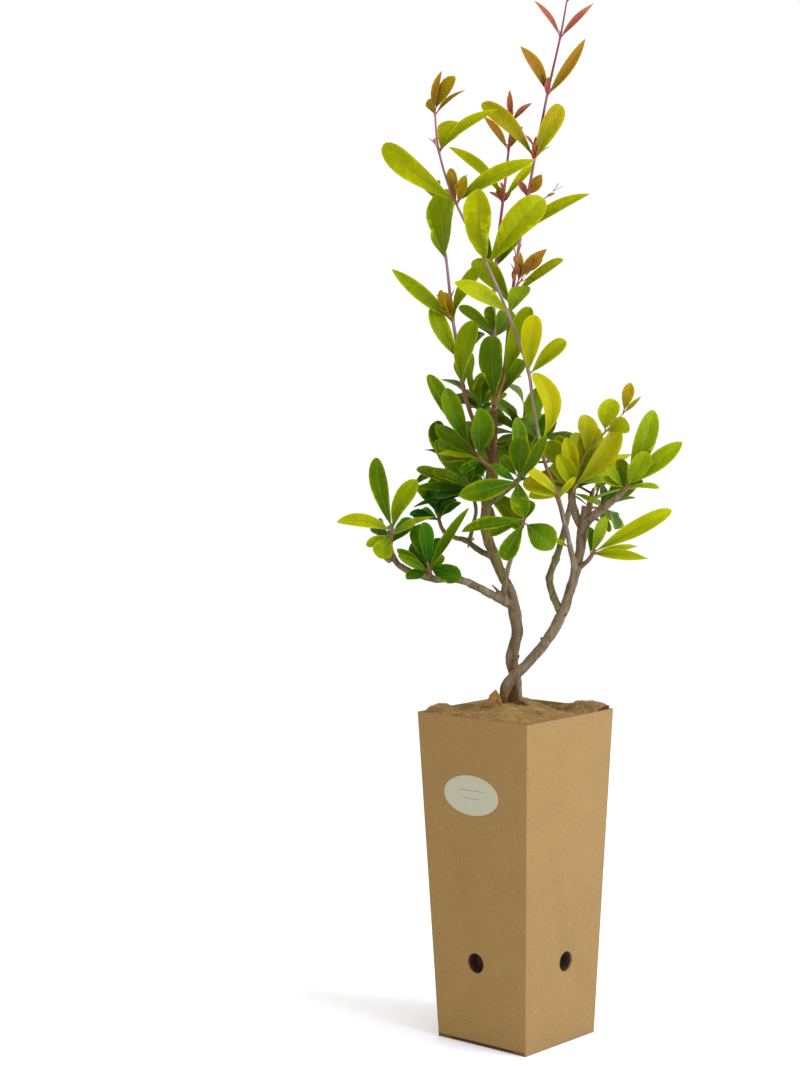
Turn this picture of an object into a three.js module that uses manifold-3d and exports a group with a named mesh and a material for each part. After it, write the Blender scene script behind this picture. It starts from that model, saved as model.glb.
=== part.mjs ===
// A young pomegranate tree in a tapered square pot of kraft board.
//
// Millimetres, +Z up. The origin is the centre of the pot's flat underside, and the pot's sides
// are parallel to X and Y. The plant is drawn in a frame of its own, turned about Z: there x runs
// across the crown, y through its depth and z is the height above the table.
import * as THREE from "three";
import { mergeVertices } from "three/addons/utils/BufferGeometryUtils.js";
import Module from "manifold-3d";

const wasm = await Module();
wasm.setup();

// ---------------------------------------------------------------- driving dimensions

const CLEAR = 0.3; // left between two pieces that meet

const POT = { height: 240, topSide: 101.5, bottomSide: 81.4, board: 1.8, floor: 2.4 };
const VENT = { radius: 7.4, height: 61, shift: 3, depth: 9, sides: 14 };
const LABEL = { width: 50, height: 29, centre: 184, offset: 2, thickness: 0.5, segments: 14 };
const SOIL_TOP = 232;
const MAT = { rim: 238, cells: 8 };
// Lumps and dips of the mat, in the plant's frame: x, y, height and radius.
const MAT_LUMPS = [
  [-4, -2, 8, 30],
  [-56, 2, 6, 13],
  [57, -3, 6, 15],
  [34, 30, -5, 15],
  [4, 56, 3, 13],
];
const FLAP = { x: -24, y: -12, width: 15, height: 13, thickness: 1.8, root: 5, lean: 18 };

const CROWN_TURN = -51.4; // degrees about Z, from the pot's frame to the plant's
const LIMB = { sides: 7, ring: 12 }; // sides round a limb and the most from ring to ring
const STEM = { sides: 4, ring: 18 }; // the thinner wood inside the masses
const FIRST_TWIG = 0.6; // where a hidden mass's first twig is, in steps from its bough
const MIN_STEP = 2; // the least from ring to ring
const SPAN_STEPS = 12; // steps of the smooth line between two of a limb's points
// A side twig: its radius at the tip and, as a multiple, at the foot. On a hidden mass it leaves
// the stem at `lean` along the stem for 1 across.
const TWIG = { radius: 0.8, foot: 1.3, lean: 0.6 };
const WHORL = { spread: 72, inner: 0.55 }; // degrees off the axis, and the share of it for every other leaf
// The trunk is the foot of two limbs, fused. `leader` and `rightStem` are its lengths along them,
// and each runs on a little below the ground, where the flat cut takes it off.
const TRUNK = { leader: 92, rightStem: 55, below: 4 };

// Leaves turn their faces to the light, which falls from above, the front and all round.
const LIGHT = { up: 0.5, front: 0.75, outward: 0.25 };
const JITTER = { turn: 4, fore: 7, length: 0.06, face: 0.3 };
// A leaf's root lies past the wood's axis by `sunk`, and `step` is from root to root.
const LEAF = { keel: 1.3, arch: 0.06, sample: 3.8, sunk: 1, step: 1.1 };
const OUTLINE = [[0.26, 0.74], [0.66, 1]]; // [way along a leaf, share of its half width]
// Room kept: to the leaves of other masses, to the outer leaves of the same one, to bark, and the
// lengths from a leaf's root at which each of these begins.
const GAP = { leaf: 2.8, own: 2.4, bark: 1.2, root: 7, outer: 15 };
const TRIES = 12; // seeded places tried for a leaf before it is skipped
const GOLDEN_ANGLE = 137.5;
const WIDE_ENOUGH = 0.4; // a whorl leaf's width as a share of its length

// ---------------------------------------------------------------- limbs
//
// A limb is a smooth line through a few points: x, y, z and the radius there.

const LIMBS = {
  leader: [
    [3, 6, SOIL_TOP + CLEAR, 6.6], [0, 5, 252, 5.6], [-2, 3.5, 276, 5.3], [0, 3, 296, 4.4],
    [-1, 4, 318, 4.2], [-14, 10, 348, 4.1], [-22, 12, 378, 3.9], [-17, 8, 407, 3.5],
    [-15, 5, 436, 2.9], [-15, 6, 460, 2.4], [-8, 10, 482, 1.9], [-3, 14, 530, 1.6],
    [4, 14, 580, 1.4], [14, 10, 634, 1.2], [24, 7, 684, 1.1], [33, 4, 723, 0.9], [38, 1, 750, 0.7],
  ],
  rightStem: [
    [-11, -3, SOIL_TOP + CLEAR, 5.6], [-8, -3.5, 253, 4.9], [7, -6, 275, 4.4], [26, -12, 298, 4.1],
    [40, -12, 328, 4], [47, -6, 359, 3.7], [49, -3, 374, 3.6], [61, -10, 386, 2.9],
    [73, -17, 396, 2.4], [81, -22, 406, 1.8],
  ],
  cutStub: [[49, -3, 374, 3], [50, -3, 388, 2.4]],
  rightInner: [
    [49, -3, 371, 3.2], [43, 3, 384, 3], [41, 6, 394, 2.8], [43, 6, 404, 2.4], [50, 3, 424, 1.8],
    [64, -5, 441, 1.4], [78, -9, 456, 1],
  ],
  innerStem: [
    [32, -13, 313, 2.8], [27, -2, 325, 2.7], [25, 8, 336, 2.6], [31, 15, 353, 2.5],
    [36, 21, 370, 2.3], [41, 28, 390, 2], [45, 34, 406, 1.6],
  ],
  frontShoot: [
    [43, -10, 342, 2.2], [39, -16, 361, 1.9], [35, -18, 378, 1.8], [30, -17, 397, 1.8],
    [20, -16, 425, 1.7], [13, -19, 462, 1.6], [9, -23, 488, 1.5], [-5, -27, 527, 1.4],
    [-20, -29, 562, 1.3], [-42, -29, 606, 1.2], [-53, -28, 641, 1.1], [-56, -27, 674, 0.8],
  ],
  rightLow: [[46, -8, 345, 1.9], [52, -13, 350, 1.7], [57, -16, 358, 1.4]],
  leftLimb: [
    [-2, 3, 316, 3.4], [-18, -12, 326, 3.1], [-39, -30, 338, 2.7], [-58, -38, 339.5, 2.5],
    [-80, -42, 348, 2.3], [-88, -42, 361, 2], [-86, -42, 376, 1.6],
  ],
  leftSpur: [[-60, -38, 340, 1.8], [-61, -41, 346, 1.5], [-61, -43, 352, 1.3]],
  centreTwig: [
    [-2, 3, 314, 2.3], [-8, -5, 326, 2], [-6, -12, 340, 1.7], [-3, -20, 352, 1.6],
    [3, -36, 370, 1.4], [7, -46, 383, 1.2],
  ],
  leftMid: [
    [-15, 11, 350, 2.5], [-27, 22, 355, 2.2], [-36, 32, 361, 2], [-46, 42, 363, 1.8],
    [-54, 49, 368, 1.6], [-58, 54, 380, 1.3],
  ],
  leftMidTwig: [[-34, 30, 359, 1.6], [-31, 35, 372, 1.5], [-29, 38, 385, 1.4], [-34, 40, 402, 1.2]],
  centreLeft: [[-16, 7, 415, 1.8], [-22, 0, 420, 1.6], [-28, -5, 426, 1.3]],
  centreFront: [[-17, 8, 404, 2], [-9, -10, 402, 1.7], [0, -26, 405, 1.5], [4, -34, 413, 1.2]],
  leftShoot: [
    [-15, 6, 417, 2], [-24, 16, 436, 1.9], [-32, 24, 454, 1.7], [-38, 28, 475, 1.6],
    [-43, 30, 509, 1.4], [-46, 30, 530, 1.3], [-50, 30, 568, 1.1], [-57, 31, 610, 0.8],
  ],
  middleShoot: [
    [-15, 5, 452, 2], [-15, 20, 480, 1.7], [-15, 30, 512, 1.5], [-15, 35, 545, 1.4],
    [-12, 36, 580, 1.2], [-8, 36, 612, 1.1], [-4, 34, 647, 0.9], [-2, 32, 668, 0.7],
  ],
  backLeft: [[-20, 12, 368, 2.6], [-17, 34, 380, 2.3], [-24, 54, 392, 2], [-32, 70, 410, 1.5]],
  backRight: [[44, -9, 346, 2.6], [50, 14, 364, 2.3], [54, 38, 378, 2], [58, 58, 398, 1.5]],
  backMiddle: [[-21, 12, 388, 2.4], [-4, 32, 400, 2.1], [12, 52, 416, 1.8], [16, 66, 438, 1.4]],
  backTop: [[-15, 5, 430, 2], [-20, 26, 440, 1.7], [-26, 44, 450, 1.4], [-28, 56, 464, 1.1]],
};

// A bough is a bare stretch of its limb, cut clear of the limbs that it grows from.
const BOUGHS = {
  main_leader: { limb: "leader", stretch: [TRUNK.leader, 236], from: [] },
  right_stem: { limb: "rightStem", stretch: [TRUNK.rightStem, 168], from: [] },
  right_bough: { limb: "rightStem", stretch: [168, 204], from: [] },
  cut_stub: { limb: "cutStub", stretch: [0, 14], from: ["rightStem", "rightInner"] },
  right_inner_bough: { limb: "rightInner", stretch: [0, 30], from: ["rightStem"] },
  inner_stem: { limb: "innerStem", stretch: [0, 32], from: ["rightStem"] },
  inner_stem_top: { limb: "innerStem", stretch: [32, 88], from: [] },
  front_bough: { limb: "frontShoot", stretch: [0, 52], from: ["rightStem"] },
  left_limb: { limb: "leftLimb", stretch: [0, 106], from: ["leader"] },
  centre_twig: { limb: "centreTwig", stretch: [0, 80], from: ["leader", "leftLimb"] },
  left_mid_bough: { limb: "leftMid", stretch: [0, 56], from: ["leader"] },
  left_mid_twig: { limb: "leftMidTwig", stretch: [0, 38], from: ["leftMid"] },
  back_left_bough: { limb: "backLeft", stretch: [0, 38], from: ["leader"] },
  back_right_bough: { limb: "backRight", stretch: [0, 46], from: ["rightStem"] },
  back_middle_bough: { limb: "backMiddle", stretch: [0, 34], from: ["leader"] },
  back_top_bough: { limb: "backTop", stretch: [0, 28], from: ["leader"] },
};

// ---------------------------------------------------------------- masses of foliage
//
// A mass is the rest of a limb, from the end of its bough, with sprays of leaves at its nodes.
// A fan is a few leaves spread evenly between two directions. `turn` is the direction across the
// crown, from 0 at the right to 90 upwards, and `fore` leans it towards the front, in degrees;
// lengths and widths are in mm. A pair of values runs from the fan's first leaf to its last.

const fan = (count, turn, fore, length, width) => ({ count, turn, fore, length, width });

// A whorl sets its leaves round the spray's own axis by the golden angle.
const whorl = (count, length) => ({ count, length });

// Hidden sides have no spray drawn by hand: short twigs at even steps along the stem, turned by
// the golden angle, each with a whorl at its tip.
const twigs = (count, twig, leaves, length) => ({ count, twig, leaves, length });

const MASSES = {
  front_shoot_foliage: {
    limb: "frontShoot",
    bare: 52,
    from: [],
    reach: 66,
    sprays: [
      { height: 397, fans: [fan(2, [136, 158], [20, 35], [36, 27], [14, 10]), fan(1, 57, 25, 21, 5)] },
      { height: 434, fans: [fan(1, 93, 5, 49, 20), fan(1, 100, -45, 42, 15)] },
      { height: 484, fans: [fan(2, [87, 46], [15, -5], [45, 35], [16, 13])] },
      { height: 527, fans: [fan(1, 148, 20, 48, 14), fan(1, 60, -50, 36, 14)] },
      { height: 562, fans: [fan(2, [96, 48], [10, -8], [55, 58], [23, 24])] },
      {
        height: 606,
        fans: [fan(2, [137, 30], [5, 15], [62, 63], [16, 10]), fan(2, [97, 76], [-20, 25], [28, 22], 8)],
      },
      { height: 641, fans: [fan(1, 61, -10, 26, 18), fan(1, 37, 15, 54, 8)] },
      { height: 671, fans: [fan(3, [82, 22], [-10, 15], [23, 24], 9), fan(1, 45, 40, 15, 6)] },
    ],
  },
  top_shoot_foliage: {
    limb: "leader",
    bare: 236,
    from: [],
    reach: 66,
    sprays: [
      { height: 465, fans: [fan(1, 91, 10, 49, 20), fan(1, 75, -45, 40, 16)] },
      { height: 479, fans: [fan(1, 70, -5, 61, 18), fan(1, 118, -50, 38, 14)] },
      { height: 532, fans: [fan(1, 47, 10, 51, 11), fan(1, 124, -10, 46, 18)] },
      { height: 534, twig: [72, 10, 20], fans: [fan(2, [42, 84], [10, -10], [27, 22], 9)] },
      { height: 592, fans: [fan(1, 27, 12, 51, 10)] },
      { height: 610, fans: [fan(1, 60, 0, 20, 9), fan(1, 115, -20, 17, 7)] },
      {
        height: 636,
        fans: [fan(2, [132, 62], [5, -8], [53, 44], [15, 19]), fan(2, [97, 74], [25, 20], 15, 6)],
      },
      { height: 684, fans: [fan(2, [118, 52], [-5, 10], [40, 48], [12, 9]), fan(1, 88, 20, 14, 6)] },
      { height: 723, fans: [fan(2, [127, 50], [5, -5], [34, 35], 5)] },
      { height: 748, fans: [fan(3, [128, 54], [10, -10], [22, 20], 5)] },
    ],
  },
  middle_shoot_foliage: {
    limb: "middleShoot",
    bare: 0,
    from: ["leader"],
    reach: 60,
    sprays: [
      { height: 512, fans: [fan(2, [137, 100], [10, -10], [34, 25], 9), fan(2, [60, 120], -50, 38, 15)] },
      { height: 560, fans: [fan(2, [118, 62], -25, [38, 36], 14)] },
      { height: 612, fans: [fan(2, [137, 51], [5, 0], [55, 34], [10, 7]), fan(3, [140, 60], -15, 13, 6)] },
      { height: 647, fans: [fan(2, [126, 60], [5, -25], [30, 25], 9)] },
      { height: 667, fans: [fan(3, [135, 46], [10, -10], [22, 23], 5)] },
    ],
  },
  left_shoot_foliage: {
    limb: "leftShoot",
    bare: 0,
    from: ["leader"],
    reach: 62,
    sprays: [
      { height: 475, fans: [fan(1, 81, 10, 51, 21), fan(1, 130, -50, 40, 15)] },
      { height: 494, fans: [fan(1, 119, -5, 44, 14), fan(1, 50, -50, 36, 14)] },
      {
        height: 523,
        fans: [fan(2, [142, 65], [5, -8], [58, 47], 13), fan(2, [113, 100], [20, 30], [27, 24], 8)],
      },
      { height: 568, fans: [fan(1, 91, 8, 49, 25), fan(1, 100, -45, 36, 14)] },
      { height: 609, fans: [fan(2, [124, 90], [0, -30], [31, 22], [12, 9])] },
    ],
  },
  left_tip_foliage: {
    limb: "leftLimb",
    bare: 106,
    from: [],
    reach: 58,
    sprays: [
      {
        height: 376,
        fans: [
          fan(2, [103, 68], [-8, 14], [52, 37], [16, 15]),
          fan(2, [37, 20], [32, 10], [27, 34], [10, 8]),
          fan(1, 171, 8, 42, 11),
          fan(3, [206, 264], [20, 35], [24, 19], [11, 17]),
          fan(3, [150, 30], [-45, -55], 34, 13),
        ],
      },
    ],
  },
  left_spur_foliage: {
    limb: "leftSpur",
    bare: 0,
    from: ["leftLimb"],
    reach: 60,
    sprays: [
      {
        height: 351,
        fans: [
          fan(2, [116, 86], [0, 12], [42, 44], [22, 15]),
          fan(1, 63, 22, 57, 9),
          fan(2, [152, 178], [5, 22], [30, 23], 11),
          fan(2, [-21, -139], [42, 48], [32, 22], 16),
          fan(2, [60, 120], [-38, -45], 34, 13),
        ],
      },
    ],
  },
  centre_low_foliage: {
    limb: "centreTwig",
    bare: 80,
    from: [],
    reach: 54,
    sprays: [
      {
        height: 382,
        fans: [
          fan(2, [187, 205], [10, -15], [47, 29], [14, 8]),
          fan(2, [236, 303], [5, 12], [34, 25], [18, 21]),
          fan(2, [114, -81], [25, -30], [20, 18], 9),
          fan(2, [150, 40], [-40, -45], 34, 12),
        ],
      },
    ],
  },
  centre_front_foliage: {
    limb: "centreFront",
    bare: 0,
    from: ["leader"],
    reach: 54,
    sprays: [
      {
        height: 412,
        fans: [
          fan(2, [99, 84], [-5, 22], [43, 29], [16, 14]),
          fan(1, 42, 5, 45, 12),
          fan(1, -75, 15, 29, 17),
          fan(1, 196, 14, 41, 18),
          fan(2, [150, 60], [35, 45], [30, 28], 12),
          fan(1, 20, -30, 34, 13),
        ],
      },
    ],
  },
  centre_left_foliage: {
    limb: "centreLeft",
    bare: 0,
    from: ["leader"],
    reach: 76,
    sprays: [
      {
        height: 425,
        fans: [
          fan(1, 89, 18, 36, 21),
          fan(1, 58, 5, 25, 13),
          fan(3, [147, 174], [-8, 30], [36, 28], [14, 11]),
          fan(2, [210, 250], [30, 40], [26, 24], 11),
        ],
      },
      { height: 423, twig: [128, 5, 14], fans: [fan(2, [119, 104], [-5, 10], [52, 44], 14)] },
    ],
  },
  right_tip_foliage: {
    limb: "rightStem",
    bare: 204,
    from: [],
    reach: 58,
    sprays: [
      {
        height: 406,
        fans: [
          fan(2, [73, 33], [5, 12], [53, 47], [23, 17]),
          fan(2, [24, -4], [38, 15], [24, 23], [12, 6]),
          fan(2, [160, 126], [0, 15], [28, 26], 13),
          fan(3, [120, 20], [-40, -50], 36, 14),
        ],
      },
      { height: 401, fans: [fan(1, 58, 25, 33, 18), fan(1, 207, 15, 24, 10)] },
    ],
  },
  right_low_foliage: {
    limb: "rightLow",
    bare: 0,
    from: ["rightStem"],
    reach: 66,
    sprays: [
      {
        height: 357,
        fans: [
          fan(1, 31, 8, 62, 13),
          fan(2, [16, 1], [-12, 18], [34, 38], [12, 10]),
          fan(1, 75, -10, 33, 14),
          fan(1, -7, 32, 21, 8),
          fan(2, [60, 5], [-40, -45], 34, 12),
        ],
      },
    ],
  },
  right_inner_foliage: {
    limb: "rightInner",
    bare: 30,
    from: [],
    reach: 58,
    sprays: [
      {
        height: 404,
        fans: [
          fan(2, [53, 38], [18, -8], [48, 51], [23, 13]),
          fan(2, [99, 75], [12, -12], [40, 48], 14),
          fan(2, [151, 122], [32, 25], [27, 26], [15, 13]),
          fan(2, [-38, 17], [15, 35], [26, 27], 11),
        ],
      },
      { height: 425, fans: [fan(2, [140, 15], [-30, -35], 36, 14)] },
      { height: 442, fans: [fan(2, [79, 18], [5, 10], [25, 20], [20, 14]), fan(1, 150, -20, 24, 12)] },
      { height: 455, fans: [fan(2, [78, 36], [0, 20], [23, 18], [10, 5]), fan(1, 60, -50, 20, 8)] },
    ],
  },
  right_back_foliage: {
    limb: "innerStem",
    bare: 88,
    from: [],
    reach: 56,
    sprays: [
      {
        height: 405,
        fans: [
          fan(3, [128, 52], [-5, -28], [38, 42], 16),
          fan(2, [20, 165], [-30, -12], 34, 13),
          fan(3, [150, 30], [-50, -60], 38, 15),
        ],
      },
    ],
  },
  left_inner_foliage: {
    limb: "leftMidTwig",
    bare: 38,
    from: [],
    reach: 54,
    sprays: [
      {
        height: 401,
        fans: [
          fan(3, [156, 183], [-10, 12], 42, 12),
          fan(2, [100, 128], [-20, 10], [36, 38], 14),
          fan(2, [60, 140], -50, 36, 14),
        ],
      },
    ],
  },
  left_back_foliage: {
    limb: "leftMid",
    bare: 56,
    from: [],
    reach: 52,
    sprays: [
      {
        height: 379,
        fans: [
          fan(3, [153, 114], [0, -15], [31, 33], 11),
          fan(2, [60, 80], [0, -20], [26, 24], 12),
          fan(2, [-38, 190], [10, -20], [22, 28], 11),
          fan(3, [170, 50], [-50, -60], 36, 14),
        ],
      },
    ],
  },
  back_left_foliage: { limb: "backLeft", bare: 38, from: [], reach: 58, twigs: twigs(3, 16, 5, 40) },
  back_right_foliage: { limb: "backRight", bare: 46, from: [], reach: 58, twigs: twigs(3, 15, 5, 40) },
  back_middle_foliage: { limb: "backMiddle", bare: 34, from: [], reach: 58, twigs: twigs(3, 16, 5, 40) },
  back_top_foliage: { limb: "backTop", bare: 28, from: [], reach: 54, twigs: twigs(2, 14, 5, 36) },
};

// ---------------------------------------------------------------- small helpers

const rad = THREE.MathUtils.degToRad;
const lerp = THREE.MathUtils.lerp;
const vec = (x, y, z) => new THREE.Vector3(x, y, z);

// A direction in the plant's frame.
function heading(turn, fore) {
  const flat = Math.cos(rad(fore));
  return vec(Math.cos(rad(turn)) * flat, -Math.sin(rad(fore)), Math.sin(rad(turn)) * flat);
}

// Any unit vector at right angles to another.
function sideways(direction) {
  const up = Math.abs(direction.z) < 0.9 ? vec(0, 0, 1) : vec(0, 1, 0);
  return up.addScaledVector(direction, -up.dot(direction)).normalize();
}

// The same even random numbers from 0 to 1 each time, for one seed.
function seeded(seed) {
  let state = seed;
  return () => {
    state = (state + 0x6d2b79f5) | 0;
    let mixed = Math.imul(state ^ (state >>> 15), 1 | state);
    mixed = (mixed + Math.imul(mixed ^ (mixed >>> 7), 61 | mixed)) ^ mixed;
    return ((mixed ^ (mixed >>> 14)) >>> 0) / 4294967296;
  };
}

// A value of a fan at its leaf k: a single number, or a pair that runs from first to last.
const along = (value, k, count) =>
  Array.isArray(value) ? lerp(value[0], value[1], count > 1 ? k / (count - 1) : 0) : value;

function solidOf(geometry) {
  const bare = new THREE.BufferGeometry();
  bare.setAttribute("position", geometry.getAttribute("position"));
  bare.setIndex(geometry.getIndex());
  const merged = mergeVertices(bare);
  return new wasm.Manifold(
    new wasm.Mesh({
      numProp: 3,
      vertProperties: new Float32Array(merged.getAttribute("position").array),
      triVerts: new Uint32Array(merged.getIndex().array),
    }),
  );
}

function geometryOf(solid) {
  const mesh = solid.getMesh();
  const geometry = new THREE.BufferGeometry();
  geometry.setAttribute("position", new THREE.BufferAttribute(new Float32Array(mesh.vertProperties), 3));
  geometry.setIndex(new THREE.BufferAttribute(new Uint32Array(mesh.triVerts), 1));
  const flat = geometry.toNonIndexed();
  flat.computeVertexNormals();
  return flat;
}

// Lengths from one end to the other by way of some others, with no step over the most.
function stops(from, to, most, via) {
  const fixed = [from];
  for (const stop of [...via].sort((a, b) => a - b))
    if (stop > fixed.at(-1) + MIN_STEP && stop < to - MIN_STEP) fixed.push(stop);
  fixed.push(to);
  return fixed.flatMap((stop, i) => {
    const steps = i ? Math.max(1, Math.ceil((stop - fixed[i - 1]) / most)) : 1;
    return Array.from({ length: steps }, (_, k) => (i ? lerp(fixed[i - 1], stop, (k + 1) / steps) : stop));
  });
}

// A closed skin over rings of points, each ring counter-clockwise about the way they run. The
// first and last ring may be a single point, and any other end is closed flat.
function skin(rings) {
  const faces = [];
  let low = 0;
  rings.slice(1).forEach((ring, i) => {
    const high = low + rings[i].length;
    const sides = Math.max(ring.length, rings[i].length);
    for (let k = 0; k < sides; k++) {
      const next = (k + 1) % sides;
      if (ring.length === 1) faces.push([low + k, low + next, high]);
      else if (rings[i].length === 1) faces.push([low, high + next, high + k]);
      else faces.push([low + k, low + next, high + next], [low + k, high + next, high + k]);
    }
    low = high;
  });
  for (let k = 1; k < rings[0].length - 1; k++) faces.push([0, k + 1, k]);
  for (let k = 1; k < rings.at(-1).length - 1; k++) faces.push([low, low + k, low + k + 1]);
  const geometry = new THREE.BufferGeometry().setFromPoints(rings.flat());
  geometry.setIndex(faces.flat());
  return geometry;
}

// ---------------------------------------------------------------- limbs in code

class Limb {
  constructor(points) {
    const places = points.map(([x, y, z]) => vec(x, y, z));
    const curve = new THREE.CatmullRomCurve3(places, false, "catmullrom", 0.5);
    this.points = curve.getPoints(SPAN_STEPS * (points.length - 1));
    this.radii = this.points.map((_, i) => {
      const span = Math.min(Math.floor(i / SPAN_STEPS), points.length - 2);
      return lerp(points[span][3], points[span + 1][3], i / SPAN_STEPS - span);
    });
    this.lengths = [0];
    for (let i = 1; i < this.points.length; i++)
      this.lengths.push(this.lengths[i - 1] + this.points[i].distanceTo(this.points[i - 1]));
    this.length = this.lengths.at(-1);
  }

  // The centre, radius and direction at a length along the limb.
  at(length) {
    const i = Math.max(1, this.lengths.findIndex((l) => l >= Math.min(length, this.length)));
    const part = (length - this.lengths[i - 1]) / (this.lengths[i] - this.lengths[i - 1]);
    return {
      point: this.points[i - 1].clone().lerp(this.points[i], part),
      radius: lerp(this.radii[i - 1], this.radii[i], part),
      direction: this.points[i].clone().sub(this.points[i - 1]).normalize(),
    };
  }

  // The length at which the limb first reaches a height.
  reaching(height) {
    const i = this.points.findIndex((p) => p.z >= height);
    return i < 0 ? this.length : this.lengths[i];
  }

  // The wood between two lengths, with a ring at each of the lengths in `via`.
  tube(from, to, { grow = 0, shape = LIMB, via = [] } = {}) {
    let side = null;
    const rings = stops(from, to, shape.ring, via).map((length) => {
      const { point, radius, direction } = this.at(length);
      side ??= sideways(direction);
      side.addScaledVector(direction, -side.dot(direction)).normalize();
      const across = direction.clone().cross(side);
      return Array.from({ length: shape.sides }, (_, k) => {
        const angle = (2 * Math.PI * k) / shape.sides;
        return point
          .clone()
          .addScaledVector(side, (radius + grow) * Math.cos(angle))
          .addScaledVector(across, (radius + grow) * Math.sin(angle));
      });
    });
    return skin(rings);
  }
}

const limbs = Object.fromEntries(Object.entries(LIMBS).map(([name, points]) => [name, new Limb(points)]));

// Every bare stretch of a limb, which is what may be cut out of the limbs that grow from it.
const stretches = [
  { limb: "leader", stretch: [0, TRUNK.leader] },
  { limb: "rightStem", stretch: [0, TRUNK.rightStem] },
  ...Object.values(BOUGHS),
];

// The solid less every bare stretch of the limbs it grows from, with room left between.
function cutClear(solid, from) {
  let cut = solid;
  for (const { limb, stretch } of stretches)
    if (from.includes(limb)) {
      const [start, end] = stretch;
      cut = cut.subtract(solidOf(limbs[limb].tube(start - CLEAR, end + CLEAR, { grow: CLEAR })));
    }
  return largest(cut);
}

// The main body of a cut solid, without the scraps that a cut leaves.
function largest(solid) {
  return solid.decompose().reduce((best, body) => (body.volume() > best.volume() ? body : best));
}

function trunkSolid() {
  const depth = 4 * TRUNK.below;
  const ground = new THREE.BoxGeometry(POT.topSide, POT.topSide, depth);
  ground.translate(0, 0, SOIL_TOP + CLEAR - depth / 2);
  return solidOf(limbs.leader.tube(-TRUNK.below, TRUNK.leader))
    .add(solidOf(limbs.rightStem.tube(-TRUNK.below, TRUNK.rightStem)))
    .subtract(solidOf(ground));
}

// ---------------------------------------------------------------- leaves in code

// A leaf: its chord, the way its face looks, and its size.
function makeLeaf(root, direction, face, length, width) {
  const normal = face.clone().addScaledVector(direction, -face.dot(direction)).normalize();
  const side = direction.clone().cross(normal);
  const centre = (t) =>
    root
      .clone()
      .addScaledVector(direction, length * t)
      .addScaledVector(normal, 4 * LEAF.arch * length * t * (1 - t));
  return { root, direction, normal, side, length, width, centre };
}

// Half the width of a leaf's outline at a way t along it.
function halfWidth(leaf, t) {
  const knots = [[0, 0], ...OUTLINE, [1, 0]];
  const i = knots.findIndex(([at]) => at >= t && at > 0);
  const [low, high] = [knots[i - 1], knots[i]];
  return (leaf.width / 2) * lerp(low[1], high[1], (t - low[0]) / (high[0] - low[0]));
}

// The folded blade as a closed solid: flat across its edges, with the midrib as a keel below.
function blade(leaf) {
  const rings = OUTLINE.map(([t]) => {
    const centre = leaf.centre(t);
    const half = halfWidth(leaf, t);
    return [
      centre.clone().addScaledVector(leaf.side, half),
      centre.clone().addScaledVector(leaf.normal, -LEAF.keel),
      centre.clone().addScaledVector(leaf.side, -half),
    ];
  });
  return skin([[leaf.centre(0)], ...rings, [leaf.centre(1)]]);
}

// Points spread over a leaf, past its root, that stand for it when its room is tested.
function samples(leaf) {
  const list = [];
  const rows = Math.ceil(leaf.length / LEAF.sample);
  for (let i = 1; i <= rows; i++) {
    const t = i / rows;
    if (t * leaf.length < GAP.root) continue;
    const half = halfWidth(leaf, t);
    const columns = Math.ceil(half / LEAF.sample);
    for (let k = -columns; k <= columns; k++)
      list.push({
        point: leaf.centre(t).addScaledVector(leaf.side, columns ? (half * k) / columns : 0),
        outer: t * leaf.length >= GAP.outer,
      });
  }
  return list;
}

// Everything that a leaf has to stay clear of: points with a radius and the node they belong to.
const taken = [];

function claimStretch(owner, limb, from, to) {
  const steps = Math.ceil((to - from) / LEAF.sample);
  for (let i = 0; i <= steps; i++) {
    const { point, radius } = limb.at(lerp(from, to, i / steps));
    taken.push({ owner, point, radius, outer: false });
  }
}

function roomAt(owner, mine, theirs) {
  if (theirs.owner === owner) return mine.outer && theirs.outer ? GAP.own : 0;
  return theirs.radius + (theirs.radius > 0 ? GAP.bark : GAP.leaf);
}

const hasRoom = (owner, list) =>
  list.every((mine) =>
    taken.every((theirs) => mine.point.distanceToSquared(theirs.point) >= roomAt(owner, mine, theirs) ** 2),
  );

// Whether all of a leaf lies within the mass's reach of its own stem.
function inReach(mass, list) {
  const limb = limbs[mass.limb];
  const stem = limb.points.filter((_, i) => limb.lengths[i] >= mass.bare);
  return list.every(({ point }) => stem.some((s) => s.distanceTo(point) < mass.reach));
}

// The way to the light at a point of a mass; a hidden mass has none from the front.
function lightAt(mass, point) {
  const outward = vec(point.x, point.y, 0).normalize();
  return vec(0, mass.twigs ? 0 : -LIGHT.front, LIGHT.up).addScaledVector(outward, LIGHT.outward);
}

// The first of a few seeded places near the wanted one where the leaf has room, if there is one.
function tryLeaf(name, mass, random, want) {
  const shift = () => random() * 2 - 1;
  for (let k = 0; k < TRIES; k++) {
    const looser = 1 + k; // later tries stray further
    const turn = want.turn + JITTER.turn * looser * shift();
    const fore = want.fore + JITTER.fore * looser * shift();
    const length = want.length * (1 + JITTER.length * shift());
    const face = lightAt(mass, want.root).add(vec(shift(), shift(), shift()).multiplyScalar(JITTER.face));
    const direction = heading(turn, fore);
    const root = want.root.clone().addScaledVector(direction, -LEAF.sunk);
    const leaf = makeLeaf(root, direction, face, length + LEAF.sunk, want.width);
    const list = samples(leaf);
    if (hasRoom(name, list) && inReach(mass, list)) {
      taken.push(...list.map((sample) => ({ ...sample, owner: name, radius: 0 })));
      return leaf;
    }
  }
  return null;
}

// ---------------------------------------------------------------- sprays

const turnOf = (direction) => THREE.MathUtils.radToDeg(Math.atan2(direction.z, direction.x));
const foreOf = (direction) => THREE.MathUtils.radToDeg(Math.asin(-direction.y));

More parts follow.
